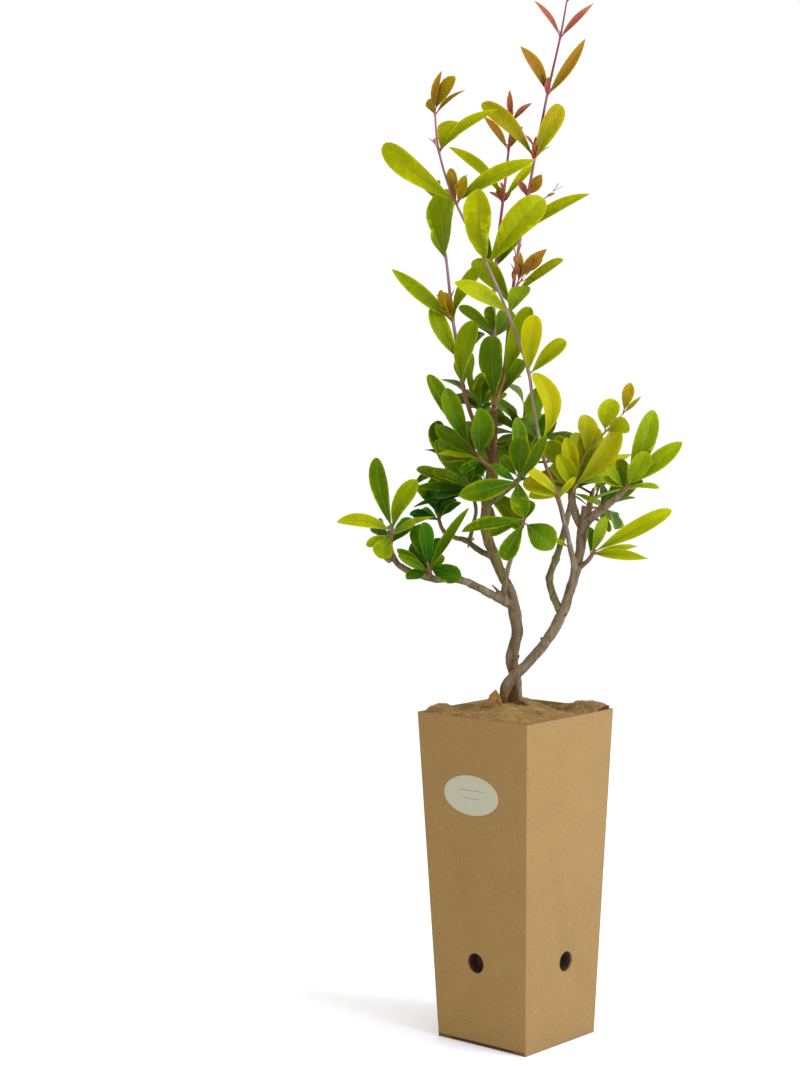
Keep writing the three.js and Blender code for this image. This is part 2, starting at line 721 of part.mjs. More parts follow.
// The sprays of a hidden mass: twigs at even steps along its stem and a whorl at each tip.
function hiddenSprays(mass, limb) {
  const { count, twig, leaves, length } = mass.twigs;
  const sprays = [];
  for (let k = 0; k < count; k++) {
    const at = lerp(mass.bare, limb.length, (k + FIRST_TWIG) / count);
    const { direction } = limb.at(at);
    const away = sideways(direction).applyAxisAngle(direction, rad(GOLDEN_ANGLE * k));
    const way = away.addScaledVector(direction, TWIG.lean).normalize();
    sprays.push({ at, twig: [turnOf(way), foreOf(way), twig], fans: [whorl(leaves, length)] });
  }
  sprays.push({ at: limb.length, fans: [whorl(leaves + 1, length)] });
  return sprays;
}

// The leaves that a fan or a whorl asks for, without their roots.
function wanted(set, axis) {
  const list = [];
  for (let k = 0; k < set.count; k++) {
    if (set.turn !== undefined) {
      const value = (key) => along(set[key], k, set.count);
      list.push({ turn: value("turn"), fore: value("fore"), length: value("length"), width: value("width") });
    } else {
      const cone = rad(WHORL.spread * (k % 2 ? 1 : WHORL.inner));
      const spin = sideways(axis).applyAxisAngle(axis, rad(GOLDEN_ANGLE * k));
      const way = spin.multiplyScalar(Math.sin(cone)).addScaledVector(axis, Math.cos(cone));
      const { length } = set;
      list.push({ turn: turnOf(way), fore: foreOf(way), length, width: length * WIDE_ENOUGH });
    }
  }
  return list;
}

// All the leaves of a spray, their roots one after another down the wood from its end.
const leavesOf = ({ fans, line, end }) =>
  fans
    .flatMap((set) => wanted(set, line.at(end).direction))
    .map((want, k) => ({ ...want, root: line.at(end - LEAF.step * (k + 1)).point }));

// ---------------------------------------------------------------- growing the crown

claimStretch("trunk", limbs.leader, 0, TRUNK.leader);
claimStretch("trunk", limbs.rightStem, 0, TRUNK.rightStem);
for (const [name, { limb, stretch }] of Object.entries(BOUGHS)) claimStretch(name, limbs[limb], ...stretch);

// Stems and twigs come first, so that every leaf keeps clear of them.
const crown = Object.entries(MASSES).map(([name, mass], index) => {
  const limb = limbs[mass.limb];
  const start = mass.bare ? mass.bare + CLEAR : 0;
  claimStretch(name, limb, start, limb.length);
  const sprays = (mass.sprays ?? hiddenSprays(mass, limb)).map((spray) => {
    const at = spray.at ?? limb.reaching(spray.height);
    if (!spray.twig) return { ...spray, at, line: limb, end: at };
    const [turn, fore, length] = spray.twig;
    const { point } = limb.at(at);
    const end = point.clone().addScaledVector(heading(turn, fore), length);
    const line = new Limb([
      [...point.toArray(), TWIG.radius * TWIG.foot],
      [...end.toArray(), TWIG.radius],
    ]);
    claimStretch(name, line, 0, line.length);
    return { ...spray, at, line, end: line.length };
  });
  return { name, mass, limb, start, sprays, random: seeded(index + 1) };
});

for (const part of crown) {
  part.leaves = part.sprays
    .flatMap(leavesOf)
    .map((want) => tryLeaf(part.name, part.mass, part.random, want))
    .filter(Boolean);
}

function massSolid({ mass, limb, start, sprays, leaves }) {
  const via = sprays.map(({ at }) => at);
  let solid = solidOf(limb.tube(start, limb.length, { shape: STEM, via }));
  for (const { twig, line, end } of sprays)
    if (twig) solid = solid.add(solidOf(line.tube(0, end, { shape: STEM })));
  for (const leaf of leaves) solid = solid.add(solidOf(blade(leaf)));
  return cutClear(solid, [...mass.from, mass.limb]);
}

// ---------------------------------------------------------------- the pot

const sideAt = (z) => lerp(POT.bottomSide, POT.topSide, z / POT.height);
const taper = Math.atan((POT.topSide - POT.bottomSide) / 2 / POT.height);

// A square block that widens upwards with the pot, set in from the pot's outside.
function frustum(inset, bottom, top) {
  const corner = (z) => (sideAt(z) - 2 * inset) / Math.SQRT2;
  return new THREE.CylinderGeometry(corner(top), corner(bottom), top - bottom, 4)
    .rotateY(Math.PI / 4)
    .rotateX(Math.PI / 2)
    .translate(0, 0, (top + bottom) / 2);
}

// One round vent in the middle of each side, as plugs that reach a little way into the soil.
function ventPlugs() {
  const plugs = [];
  for (let side = 0; side < 4; side++) {
    const plug = new THREE.CylinderGeometry(VENT.radius, VENT.radius, 2 * VENT.depth, VENT.sides)
      .rotateZ(Math.PI / 2)
      .translate(sideAt(VENT.height) / 2, side % 2 ? VENT.shift : -VENT.shift, VENT.height)
      .rotateZ((side * Math.PI) / 2);
    plugs.push(solidOf(plug));
  }
  return plugs;
}

const cutVents = (solid) => ventPlugs().reduce((cut, plug) => cut.subtract(plug), solid);

function potWall() {
  const outside = solidOf(frustum(0, POT.floor + CLEAR, POT.height));
  return cutVents(outside.subtract(solidOf(frustum(POT.board, 0, POT.height + POT.board))));
}

function soil() {
  return cutVents(solidOf(frustum(POT.board + CLEAR, POT.floor + CLEAR, SOIL_TOP)));
}

// The blank oval label, lying on the slope of the pot's -X side.
function label() {
  const oval = new THREE.Shape().absellipse(0, 0, LABEL.width / 2, LABEL.height / 2, 0, 2 * Math.PI);
  return new THREE.ExtrudeGeometry(oval, {
    depth: LABEL.thickness,
    bevelEnabled: false,
    curveSegments: LABEL.segments,
  })
    .rotateX(Math.PI / 2)
    .rotateZ(-Math.PI / 2)
    .rotateY(-taper)
    .translate(-sideAt(LABEL.centre) / 2 - CLEAR, LABEL.offset, LABEL.centre);
}

// ---------------------------------------------------------------- the fibre mat

const toPot = new THREE.Matrix4().makeRotationZ(rad(CROWN_TURN));
const toPlant = toPot.clone().invert();

function matHeight(x, y) {
  const { x: px, y: py } = vec(x, y, 0).applyMatrix4(toPlant);
  return MAT_LUMPS.reduce(
    (z, [lx, ly, height, radius]) => z + height * Math.exp(-((px - lx) ** 2 + (py - ly) ** 2) / radius ** 2),
    MAT.rim,
  );
}

// A slab with a lumpy top that fills the rim, on the soil.
function matSlab() {
  const bottom = SOIL_TOP + CLEAR;
  const width = sideAt(bottom) - 2 * (POT.board + CLEAR);
  const slab = new THREE.BoxGeometry(width, width, 1, MAT.cells, MAT.cells, 1);
  const position = slab.getAttribute("position");
  for (let i = 0; i < position.count; i++) {
    const [x, y] = [position.getX(i), position.getY(i)];
    position.setZ(i, position.getZ(i) > 0 ? matHeight(x, y) : bottom);
  }
  return slab;
}

// The torn flap of the mat that stands up beside the trunk.
function matFlap() {
  const { width, height, root } = FLAP;
  const tongue = new THREE.Shape();
  tongue.moveTo(0, -root);
  tongue.lineTo(width, -root);
  tongue.lineTo(width, 0);
  tongue.quadraticCurveTo(width * 0.9, height * 0.7, width * 0.6, height);
  tongue.quadraticCurveTo(width * 0.2, height * 0.5, 0, 0);
  return new THREE.ExtrudeGeometry(tongue, { depth: FLAP.thickness, bevelEnabled: false, curveSegments: 3 })
    .rotateX(Math.PI / 2 + rad(FLAP.lean))
    .translate(FLAP.x, FLAP.y, MAT.rim + root)
    .applyMatrix4(toPot);
}

function fibreMat() {
  let solid = solidOf(matSlab()).add(solidOf(matFlap()));
  for (const [limb, end] of [
    [limbs.leader, TRUNK.leader],
    [limbs.rightStem, TRUNK.rightStem],
  ])
    solid = solid.subtract(solidOf(limb.tube(-TRUNK.below, end, { grow: 2 * CLEAR }).applyMatrix4(toPot)));
  return solid;
}

// ---------------------------------------------------------------- the assembly

const group = new THREE.Group();
const plant = new THREE.Group();
plant.rotation.z = rad(CROWN_TURN);
group.add(plant);

function place(parent, name, geometry, color, roughness) {
  const mesh = new THREE.Mesh(geometry, new THREE.MeshStandardMaterial({ color, roughness, metalness: 0 }));
  mesh.name = name;
  parent.add(mesh);
}

const BARK = 0x8a7a68;
const KRAFT = 0xb08f5f;
const LEAF_GREENS = [0x8fae28, 0x6f9a1e, 0x557f1c, 0x3f6b1a];

place(group, "pot_floor", frustum(0, 0, POT.floor), KRAFT, 0.9);
place(group, "pot_wall", geometryOf(potWall()), KRAFT, 0.9);
place(group, "label", label(), 0xe9e6cf, 0.6);
place(group, "soil", geometryOf(soil()), 0x3a2a1c, 1);
place(group, "fibre_mat", geometryOf(fibreMat()), 0x9b7440, 1);

place(plant, "trunk", geometryOf(trunkSolid()), BARK, 0.85);
for (const [name, { limb, stretch, from }] of Object.entries(BOUGHS)) {
  const start = stretch[0] ? stretch[0] + CLEAR : 0;
  const solid = cutClear(solidOf(limbs[limb].tube(start, stretch[1])), from);
  place(plant, name, geometryOf(solid), BARK, 0.85);
}
crown.forEach((part, i) => {
  place(plant, part.name, geometryOf(massSolid(part)), LEAF_GREENS[i % LEAF_GREENS.length], 0.55);
});

export default group;
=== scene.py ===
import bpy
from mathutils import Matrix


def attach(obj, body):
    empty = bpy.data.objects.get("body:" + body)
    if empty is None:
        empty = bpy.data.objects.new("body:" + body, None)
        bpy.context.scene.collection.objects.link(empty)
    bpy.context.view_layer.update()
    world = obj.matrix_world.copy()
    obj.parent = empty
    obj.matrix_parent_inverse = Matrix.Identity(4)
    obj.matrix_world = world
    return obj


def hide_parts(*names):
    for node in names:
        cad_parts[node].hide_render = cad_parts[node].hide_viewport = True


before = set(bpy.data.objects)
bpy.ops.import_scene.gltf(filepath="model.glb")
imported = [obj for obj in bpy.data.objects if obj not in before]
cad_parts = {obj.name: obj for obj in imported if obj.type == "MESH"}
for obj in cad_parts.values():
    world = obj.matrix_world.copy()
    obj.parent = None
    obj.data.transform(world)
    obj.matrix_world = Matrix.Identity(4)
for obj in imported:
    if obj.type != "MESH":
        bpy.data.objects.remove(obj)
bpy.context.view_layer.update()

# A young pomegranate tree in a tapered square pot of kraft board.
#
# The pot is worked out in metres. The plant's own tables are in millimetres, in a frame turned
# about Z: there x runs across the crown, y through its depth and z is the height above the floor.
import copy
import math
import random

import bmesh
import bpy
import numpy as np
from mathutils import Matrix, Vector, noise

MM = 0.001
CROWN_TURN = math.radians(-51.4)
PLANT = Matrix.Rotation(CROWN_TURN, 4, "Z") @ Matrix.Scale(MM, 4)


def srgb(red, green, blue):
    """A colour as a screen shows it, from 0 to 255, in the linear values that a shader takes."""

    def linear(value):
        share = value / 255
        return share / 12.92 if share <= 0.04045 else ((share + 0.055) / 1.055) ** 2.4

    return (linear(red), linear(green), linear(blue), 1)


def toned(colour, factor):
    return (*(min(1, channel * factor) for channel in colour[:3]), 1)


CAMERA = {"place": (0, -1659, 493.4), "turn": 2.875, "pitch": 4.289, "roll": -0.354, "lens": 77.6}
AIM = (0, 0, 400)  # what the lamps point at, in the plant's frame
LAMPS = {
    "key": {"place": (1500, -900, 1100), "size": 1.3, "power": 38, "colour": (0.9, 1, 1.45)},
    "fill": {"place": (-1300, -1500, 700), "size": 1.2, "power": 1.5, "colour": (1, 0.97, 0.9)},
}
SKY = 1.06
FLOOR_RADIUS = 6

POT = {"height": 0.240, "top": 0.1015, "bottom": 0.0814, "board": 0.0018}
BASE_BOARDS = [(0, 0.0011, 0.0008), (0.0013, 0.0024, 0.0014)]  # lowest, highest, set in
BASE_PLAY = 0.0004  # how far they stay from the two sides that fold under
SIDE_LIFT = 0.0027  # how high the two sides end that don't fold under
FOLD = {"flap": 0.012, "radius": 0.0011, "corner": 0.0009}
VENT = {"radius": 0.0074, "height": 0.061, "shift": 0.003, "sides": 48, "punch": 0.012}
LABEL = {"width": 0.050, "height": 0.029, "centre": 0.184, "offset": 0.002, "thickness": 0.00022,
         "dome": 0.2, "gap": 0.00005}
# The label's two ruled lines: height above its centre, left and right end.
RULES = [(0.0036, -0.012, 0.012), (-0.0022, -0.007, 0.007)]
# Their section: up the label, and out from where it is highest.
RULE_SECTION = [(0.00018, 0.00002), (0.00018, -0.0001), (-0.00018, -0.0001), (-0.00018, 0.00002)]
RULE_RISE = 1.25  # thicknesses of the label

MAT = {"rim": 238, "depth": 4, "cells": 120, "clear": 1.9}
RAGGED = {"height": 0.6, "width": 4}  # the mat's edge
# Lumps and dips of the mat, in the plant's frame: x, y, height and radius.
MAT_LUMPS = [
    (-4, -2, 8, 30), (-58, 2, 5.5, 11), (-49, 6, 2.5, 7), (62, 6, 5, 12), (50, 13, 4.5, 10),
    (37, 18, 3, 8), (30, 37, -5, 11), (22, 22, -2, 7), (45, -8, -1.5, 8), (4, 56, 3, 13), (-38, 6, -2.5, 8),
    (29, 5, -2.6, 6), (43, 5, 3, 7),
]
# Where the mat is torn and rough, and where shade is painted on it in its dips and crevices: x, y and radius.
MAT_TEARS = [(50, 14, 20), (-56, 4, 14), (30, 40, 18)]
MAT_PAINTED_SHADE = [
    (33, 54, 15), (30, 24, 8), (41, 8, 8), (55, 8, 9), (16, -24, 6), (-44, 10, 9), (-60, -6, 5),
    (28, 8, 6), (35, 0, 6), (52, 24, 8),
]
# The torn flaps: a place beside the stems, a size, how far each leans and turns, in degrees, and
# where across its width it is highest, as a share of it.
FLAPS = [
    {"x": -25, "y": -12, "width": 17, "height": 14, "lean": 18, "turn": 0, "peak": 0.62,
     "dark": srgb(142, 96, 44), "light": srgb(220, 168, 98)},
    {"x": -0.5, "y": -3.5, "width": 12, "height": 7, "lean": 25, "turn": 8, "peak": 0.2,
     "dark": srgb(112, 76, 34), "light": srgb(168, 126, 72)},
]
FLAP_FOOT = 4  # how far a flap is sunk in the mat
FLAP_THICKNESS = 1.6
FIBRES = {
    "coir_fibres": {"count": 2500, "radius": 0.085,
                    "dark": srgb(104, 72, 34), "light": srgb(180, 144, 86)},
    "coir_fibres_pale": {"count": 420, "radius": 0.1,
                         "dark": srgb(160, 130, 80), "light": srgb(205, 178, 126)},
}
FIBRE_STEPS = 6
FIBRE_MARGIN = 0.4  # how far the fibres stay inside the mat's edge
FIBRE_SECTION = (0, 2.094, 4.189)  # a fibre's three sides, as angles round it
AT_EDGE = {"share": 0.3, "within": (0.9, 1)}  # the fibres that lie along each pair of the mat's edges


# ------------------------------------------------------------------ finishes

LEAF_SHEEN = (0.8, 1, 0.2, 1)
LEAF_GLOW = {"Subsurface Weight": 0.35, "Subsurface Radius": (1, 1, 0.1), "Subsurface Scale": 0.0013}
SIDE_VEINS = 9
# The channels of the bark's tone: olive, red-brown twig and peeled foot, each dark and light.
BARK_TONES = [
    ("Red", srgb(70, 61, 20), srgb(108, 99, 48)),
    ("Green", srgb(66, 36, 10), srgb(120, 78, 30)),
    ("Blue", srgb(84, 52, 16), srgb(132, 100, 50)),
]


class Finish:
    """A material in the making: texture nodes that feed the sockets of one shader."""

    def __init__(self, name, colour, roughness, gloss=0.3):
        self.material = bpy.data.materials.new(name)
        self.material.use_nodes = True
        self.material.diffuse_color = colour
        self.tree = self.material.node_tree
        self.shader = next(n for n in self.tree.nodes if n.type == "BSDF_PRINCIPLED")
        self.shader.inputs["Base Color"].default_value = colour
        self.shader.inputs["Roughness"].default_value = roughness
        self.shader.inputs["Specular IOR Level"].default_value = gloss
        self.coordinates = self.add("ShaderNodeTexCoord")
        self.place = self.coordinates.outputs["Object"]

    def add(self, kind, inputs=(), **settings):
        node = self.tree.nodes.new(kind)
        for key, value in settings.items():
            setattr(node, key, value)
        for key, value in dict(inputs).items():
            if isinstance(value, bpy.types.NodeSocket):
                self.tree.links.new(value, node.inputs[key])
            else:
                node.inputs[key].default_value = value
        return node

    def moved(self, shift=(0, 0, 0), stretch=(1, 1, 1)):
        inputs = {"Vector": self.place, "Location": shift, "Scale": stretch}
        return self.add("ShaderNodeMapping", inputs).outputs["Vector"]

    def noise(self, per_metre, detail=3, warp=0, place=None):
        where = self.place if place is None else place
        inputs = {"Vector": where, "Scale": per_metre, "Detail": detail, "Distortion": warp}
        return self.add("ShaderNodeTexNoise", inputs).outputs["Fac"]

    def between(self, value, low, high):
        inputs = {"Value": value, "From Min": low, "From Max": high}
        return self.add("ShaderNodeMapRange", inputs).outputs["Result"]

    def patches(self, low, high, per_metre, detail=3, warp=0, place=None):
        """Noise from 0 to 1 between two of its levels."""
        return self.between(self.noise(per_metre, detail, warp, place), low, high)

    def math(self, operation, first, second=0.0):
        return self.add("ShaderNodeMath", {0: first, 1: second}, operation=operation).outputs[0]

    def mix(self, share, first, second):
        return self.add("ShaderNodeMix", {0: share, 6: first, 7: second}, data_type="RGBA").outputs[2]

    def over(self, value, strength, below, above):
        """A colour laid over another as far as a value goes, and no stronger than a strength."""
        return self.mix(self.math("MULTIPLY", value, strength), below, above)

    def colour(self, socket):
        self.tree.links.new(socket, self.shader.inputs["Base Color"])

    def glow(self):
        """A leaf's greenish sheen, and the light that passes through its thin blade."""
        self.shader.inputs["Specular Tint"].default_value = LEAF_SHEEN
        for key, value in LEAF_GLOW.items():
            self.shader.inputs[key].default_value = value

    def relief(self, height, depth):
        bump = self.add("ShaderNodeBump", {"Height": height, "Distance": depth})
        self.tree.links.new(bump.outputs["Normal"], self.shader.inputs["Normal"])


def kraft_board(name, tan):
    """Grey-brown board with cloudy pulp, a fine grain, and a few dark and pale flecks."""
    finish = Finish(name, tan, 0.9, gloss=0.08)
    cloud = finish.mix(finish.patches(0.3, 0.7, 38, 4), toned(tan, 0.94), toned(tan, 1.05))
    fine = finish.patches(0.3, 0.7, 1300, 3, place=finish.moved(stretch=(1, 1, 0.55)))
    grain = finish.mix(fine, toned(tan, 0.8), toned(tan, 1.2))
    pulp = finish.mix(0.5, cloud, grain)
    dark = finish.patches(0.70, 0.78, 520, 1, place=finish.moved((3, 1, 2)))
    pale = finish.patches(0.70, 0.80, 480, 1, place=finish.moved((1, 7, 5)))
    flecked = finish.over(dark, 0.6, pulp, toned(tan, 0.4))
    finish.colour(finish.over(pale, 0.6, flecked, toned(tan, 1.45)))
    finish.relief(finish.math("ADD", finish.noise(1900, 3), finish.noise(60, 2)), 0.00009)
    return finish.material


def label_paper():
    finish = Finish("label_paper", srgb(165, 161, 136), 0.6, gloss=0.2)
    fine = finish.patches(0.3, 0.7, 900)
    finish.colour(finish.mix(fine, srgb(162, 157, 131), srgb(168, 164, 141)))
    finish.relief(finish.noise(700, 2), 0.00003)
    return finish.material


def rule_ink():
    finish = Finish("rule_ink", srgb(96, 108, 104), 0.6, gloss=0.2)
    finish.colour(finish.mix(finish.noise(1500, 2), srgb(84, 96, 94), srgb(116, 126, 118)))
    return finish.material


def damp_soil():
    finish = Finish("damp_soil", srgb(46, 33, 25), 0.8, gloss=0.4)
    crumbs = finish.add("ShaderNodeTexVoronoi", {"Vector": finish.place, "Scale": 480}).outputs["Distance"]
    fine = finish.patches(0.3, 0.72, 700, 4)
    finish.colour(finish.mix(fine, srgb(32, 17, 11), srgb(98, 62, 38)))
    finish.relief(finish.math("ADD", crumbs, fine), 0.0012)
    return finish.material


def coir(name, dark, light, per_metre, depth, lines=0.4, flat=False):
    """Matted brown fibre in lighter and darker patches, with fine darker lines between strands.
    A flat pad gets painted shade: it is darker where it is steep, and where its own attribute says so."""
    finish = Finish(name, light, 0.92, gloss=0.1)
    patch = finish.patches(0.3, 0.66, per_metre, 5)
    strand = finish.patches(0.34, 0.7, 1300, 4, warp=2.5)
    felt = finish.mix(patch, toned(light, 0.74), light)
    if flat:
        # Painted shade: the pad darkens where its faces are steep, as if turned away from the light.
        upright = finish.add("ShaderNodeSeparateXYZ", {0: finish.coordinates.outputs["Normal"]}).outputs[2]
        felt = finish.mix(finish.between(upright, 0.45, 0.92), toned(dark, 0.9), felt)
        # Painted shade in the mat's dips and crevices, read from the pad's own attribute.
        painted_shade = finish.add("ShaderNodeAttribute", attribute_name="painted_shade").outputs["Fac"]
        felt = finish.over(painted_shade, finish.between(patch, 0, 0.6), felt, dark)
    finish.colour(finish.over(strand, lines, felt, dark))
    finish.relief(strand, depth)
    return finish.material


def smooth_bark(name, grey, brown, fleck, toned_by_place=False):
    """Young bark: grey over brown in patches, with fine cracks and pale pores. The skin's own
    attribute tells where it is olive, where it turns to red-brown twig, and where its foot has peeled."""
    finish = Finish(name, grey, 0.8, gloss=0.15)
    long = finish.moved(stretch=(1, 1, 0.3))
    patch = finish.patches(0.36, 0.62, 110, 5, warp=0.8, place=long)
    creases = finish.patches(0.32, 0.68, 850, 5, place=long)
    cracks = finish.patches(0.56, 0.68, 330, 4, warp=1.2, place=long)
    base = finish.mix(patch, brown, grey)
    if toned_by_place:
        tone = finish.add("ShaderNodeAttribute", attribute_name="tone")
        parts = finish.add("ShaderNodeSeparateColor", {"Color": tone.outputs["Color"]})
        for channel, dark, light in BARK_TONES:
            base = finish.mix(parts.outputs[channel], base, finish.mix(patch, dark, light))
    creased = finish.over(creases, 0.42, base, toned(brown, 0.6))
    cracked = finish.over(cracks, 0.4, creased, toned(brown, 0.34))
    pores = finish.patches(0.67, 0.76, 760, 1, place=finish.moved((2, 5, 1)))
    finish.colour(finish.over(pores, 0.45, cracked, fleck))
    finish.relief(finish.math("SUBTRACT", creases, cracks), 0.00028)
    return finish.material


def shoot_skin(name, colour, roughness=0.5, gloss=0.25):
    """The smooth skin of this year's wood, a little darker in patches."""
    finish = Finish(name, colour, roughness, gloss)
    patch = finish.patches(0.35, 0.65, 160, 4, place=finish.moved(stretch=(1, 1, 0.3)))
    finish.colour(finish.mix(patch, toned(colour, 0.72), toned(colour, 1.14)))
    finish.relief(finish.noise(1600, 3), 0.00006)
    return finish.material


def leaf_face(name, colour, warm, vein, edge):
    """The upper face of a leaf on its own UV map: greener near the stalk and the rib and darkened there
    by painted shade, with soft swellings between faint side veins and a tinged margin."""
    finish = Finish(name, colour, 0.46, gloss=0.12)
    finish.glow()
    uv = finish.add("ShaderNodeSeparateXYZ", {0: finish.coordinates.outputs["UV"]})
    along = uv.outputs[1]
    across = finish.math("MULTIPLY", finish.math("ABSOLUTE", finish.math("SUBTRACT", uv.outputs[0], 0.5)), 2)
    slanted = finish.math("SUBTRACT", finish.math("MULTIPLY", along, SIDE_VEINS), across)
    ridge = finish.math("ABSOLUTE", finish.math("SUBTRACT", finish.math("FRACT", slanted), 0.5))
    line = finish.between(ridge, 0.42, 0.5)
    drift = finish.math("MULTIPLY", along, 0.3)
    tone = finish.between(finish.math("ADD", finish.noise(42, 3), drift), 0.42, 0.86)
    blade = finish.mix(tone, toned(colour, 0.86), warm)
    # The blade is truly greener towards the stalk and the rib, and is also darkened there with painted shade.
    greener_base_and_shade = (colour[0] * 0.36, colour[1] * 0.5, colour[2] * 0.5, 1)
    outward = finish.math("ADD", along, finish.math("MULTIPLY", across, 0.3))
    shaded = finish.mix(finish.between(outward, -0.15, 0.62), greener_base_and_shade, blade)
    mottled = finish.over(finish.patches(0.4, 0.75, 220, 2), 0.22, shaded, toned(colour, 0.7))
    veined = finish.over(line, 0.14, mottled, vein)
    rim = finish.math("POWER", across, 5)
    finish.colour(finish.over(rim, 0.4, veined, edge))
    height = finish.math("SUBTRACT", finish.noise(130, 2), finish.math("MULTIPLY", ridge, 0.22))
    finish.relief(height, 0.0008)
    return finish.material


def leaf_back(name, colour):
    finish = Finish(name, colour, 0.62, gloss=0.1)
    finish.glow()
    finish.colour(finish.mix(finish.patches(0.3, 0.7, 60), toned(colour, 0.85), toned(colour, 1.1)))
    finish.relief(finish.noise(160, 2), 0.0005)
    return finish.material


def leaf_rib(name, colour):
    finish = Finish(name, colour, 0.5, gloss=0.3)
    finish.colour(finish.mix(finish.noise(300, 2), toned(colour, 0.85), toned(colour, 1.15)))
    return finish.material


def pale_paper():
    finish = Finish("pale_paper", srgb(250, 250, 250), 0.9, gloss=0.1)
    finish.colour(finish.mix(finish.noise(3, 2), srgb(249, 249, 249), srgb(251, 251, 251)))
    return finish.material


# ------------------------------------------------------------------ modelling helpers


def pick(piece):
    """Selects one object and nothing else."""
    bpy.ops.object.select_all(action="DESELECT")
    piece.select_set(True)
    bpy.context.view_layer.objects.active = piece


def named(name, *materials):
    """Names the object that was just added, puts its place in its mesh and gives it its finishes."""
    piece = bpy.context.object
    piece.name = piece.data.name = name
    pick(piece)
    bpy.ops.object.transform_apply(location=True, rotation=True, scale=True)
    for material in materials:
        piece.data.materials.append(material)
    return piece


def shape(piece):
    """Opens a piece in edit mode with nothing selected."""
    pick(piece)
    bpy.ops.object.mode_set(mode="EDIT")
    bpy.ops.mesh.select_all(action="DESELECT")


def done():
    bpy.ops.object.mode_set(mode="OBJECT")


def select(piece, kind, test):
    """Selects the faces or the edges of a piece in edit mode that pass a test."""
    bpy.ops.mesh.select_mode(type=kind)
    bpy.ops.mesh.select_all(action="DESELECT")
    edited = bmesh.from_edit_mesh(piece.data)
    for element in edited.faces if kind == "FACE" else edited.edges:
        if test(element):
            element.select_set(True)
    bmesh.update_edit_mesh(piece.data)


def modify(piece, kind, **settings):
    """Adds a modifier, sets it and applies it."""
    pick(piece)
    modifier = piece.modifiers.new(kind.lower(), kind)
    for key, value in settings.items():
        setattr(modifier, key, value)
    bpy.ops.object.modifier_apply(modifier=modifier.name)


def smooth(piece, degrees=35):
    pick(piece)
    bpy.ops.object.shade_smooth_by_angle(angle=math.radians(degrees))


def settle(piece, slot, *nodes):
    """Ties a finished piece to the part's root body and hides the nodes it stands for; the slot is not used.
    """
    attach(piece, "root")
    if nodes:
        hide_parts(*nodes)
    return piece


class Heap:
    """Many small closed shapes of one kind, which become one mesh."""

    def __init__(self):
        self.points = []
        self.faces = []
        self.parts = []
        self.uvs = []

    def skin(self, rings, part=lambda row, side: 0, uvs=None):
        """A closed skin over rings of points, each ring counter-clockwise about the way they run.
        The last ring may be a single point, and any other end is closed flat."""
        starts = []
        for ring in rings:
            starts.append(len(self.points))
            self.points.extend(ring)
        for row, (low, high) in enumerate(zip(rings, rings[1:])):
            a, b = starts[row], starts[row + 1]
            for side in range(len(low)):
                beyond = (side + 1) % len(low)
                if len(high) == 1:
                    self.faces.append((a + side, a + beyond, b))
                else:
                    self.faces.append((a + side, a + beyond, b + beyond, b + side))
                self.parts.append(part(row, side))
        self.faces.append(tuple(reversed(range(starts[0], starts[0] + len(rings[0])))))
        self.parts.append(part(0, 0))
        if len(rings[-1]) > 1:
            self.faces.append(tuple(range(starts[-1], starts[-1] + len(rings[-1]))))
            self.parts.append(part(len(rings) - 2, 0))
        self.uvs.extend(uvs if uvs is not None else [(0.5, 0.5)] * sum(len(ring) for ring in rings))

    def mesh(self, name, *materials):
        """One object at the origin, from points in the plant's frame."""
        mesh = bpy.data.meshes.new(name)
        mesh.from_pydata([PLANT @ Vector(point) for point in self.points], [], self.faces)
        mesh.polygons.foreach_set("material_index", self.parts)
        corners = np.empty(len(mesh.loops), np.int32)
        mesh.loops.foreach_get("vertex_index", corners)
        layer = mesh.uv_layers.new(name="leaf")
        layer.data.foreach_set("uv", np.array(self.uvs, np.float32)[corners].ravel())
        for material in materials:
            mesh.materials.append(material)
        mesh.update()
        piece = bpy.data.objects.new(name, mesh)
        bpy.context.scene.collection.objects.link(piece)
        smooth(piece, 50)
        return piece


# ------------------------------------------------------------------ camera, light and floor


def set_camera():
    turn = Matrix.Rotation(CROWN_TURN + math.radians(CAMERA["turn"]), 3, "Z")
    pitch = Matrix.Rotation(math.radians(90 - CAMERA["pitch"]), 3, "X")
    roll = Matrix.Rotation(math.radians(CAMERA["roll"]), 3, "Z")
    place = PLANT @ Vector(CAMERA["place"])
    bpy.ops.object.camera_add(location=place, rotation=(turn @ pitch @ roll).to_euler())
    camera = bpy.context.object
    camera.name = "studio_camera"
    camera.data.lens = CAMERA["lens"]
    camera.data.clip_start = 0.05
    bpy.context.scene.camera = camera


def set_lamps():
    for name, lamp in LAMPS.items():
        place = PLANT @ Vector(lamp["place"])
        away = place - PLANT @ Vector(AIM)
        turn = away.to_track_quat("Z", "Y").to_euler()
        bpy.ops.object.light_add(type="AREA", location=place, rotation=turn)
        light = bpy.context.object
        light.name = name + "_lamp"
        light.data.size = lamp["size"]
        light.data.energy = lamp["power"]
        light.data.color = lamp["colour"]


def set_sky():
    sky = bpy.data.worlds.new("white_tent")
    bpy.context.scene.world = sky
    sky.use_nodes = True
    background = next(n for n in sky.node_tree.nodes if n.type == "BACKGROUND")
    background.inputs["Color"].default_value = (1, 1, 1, 1)
    background.inputs["Strength"].default_value = SKY
    bpy.context.scene.view_settings.view_transform = "Standard"


def lay_floor():
    bpy.ops.mesh.primitive_circle_add(vertices=128, radius=FLOOR_RADIUS, fill_type="NGON")
    named("paper_floor", pale_paper())


# ------------------------------------------------------------------ the pot


def side_at(height):
    """The pot's outside width at a height."""
    return POT["bottom"] + (POT["top"] - POT["bottom"]) * height / POT["height"]


TAPER = math.atan((POT["top"] - POT["bottom"]) / 2 / POT["height"])


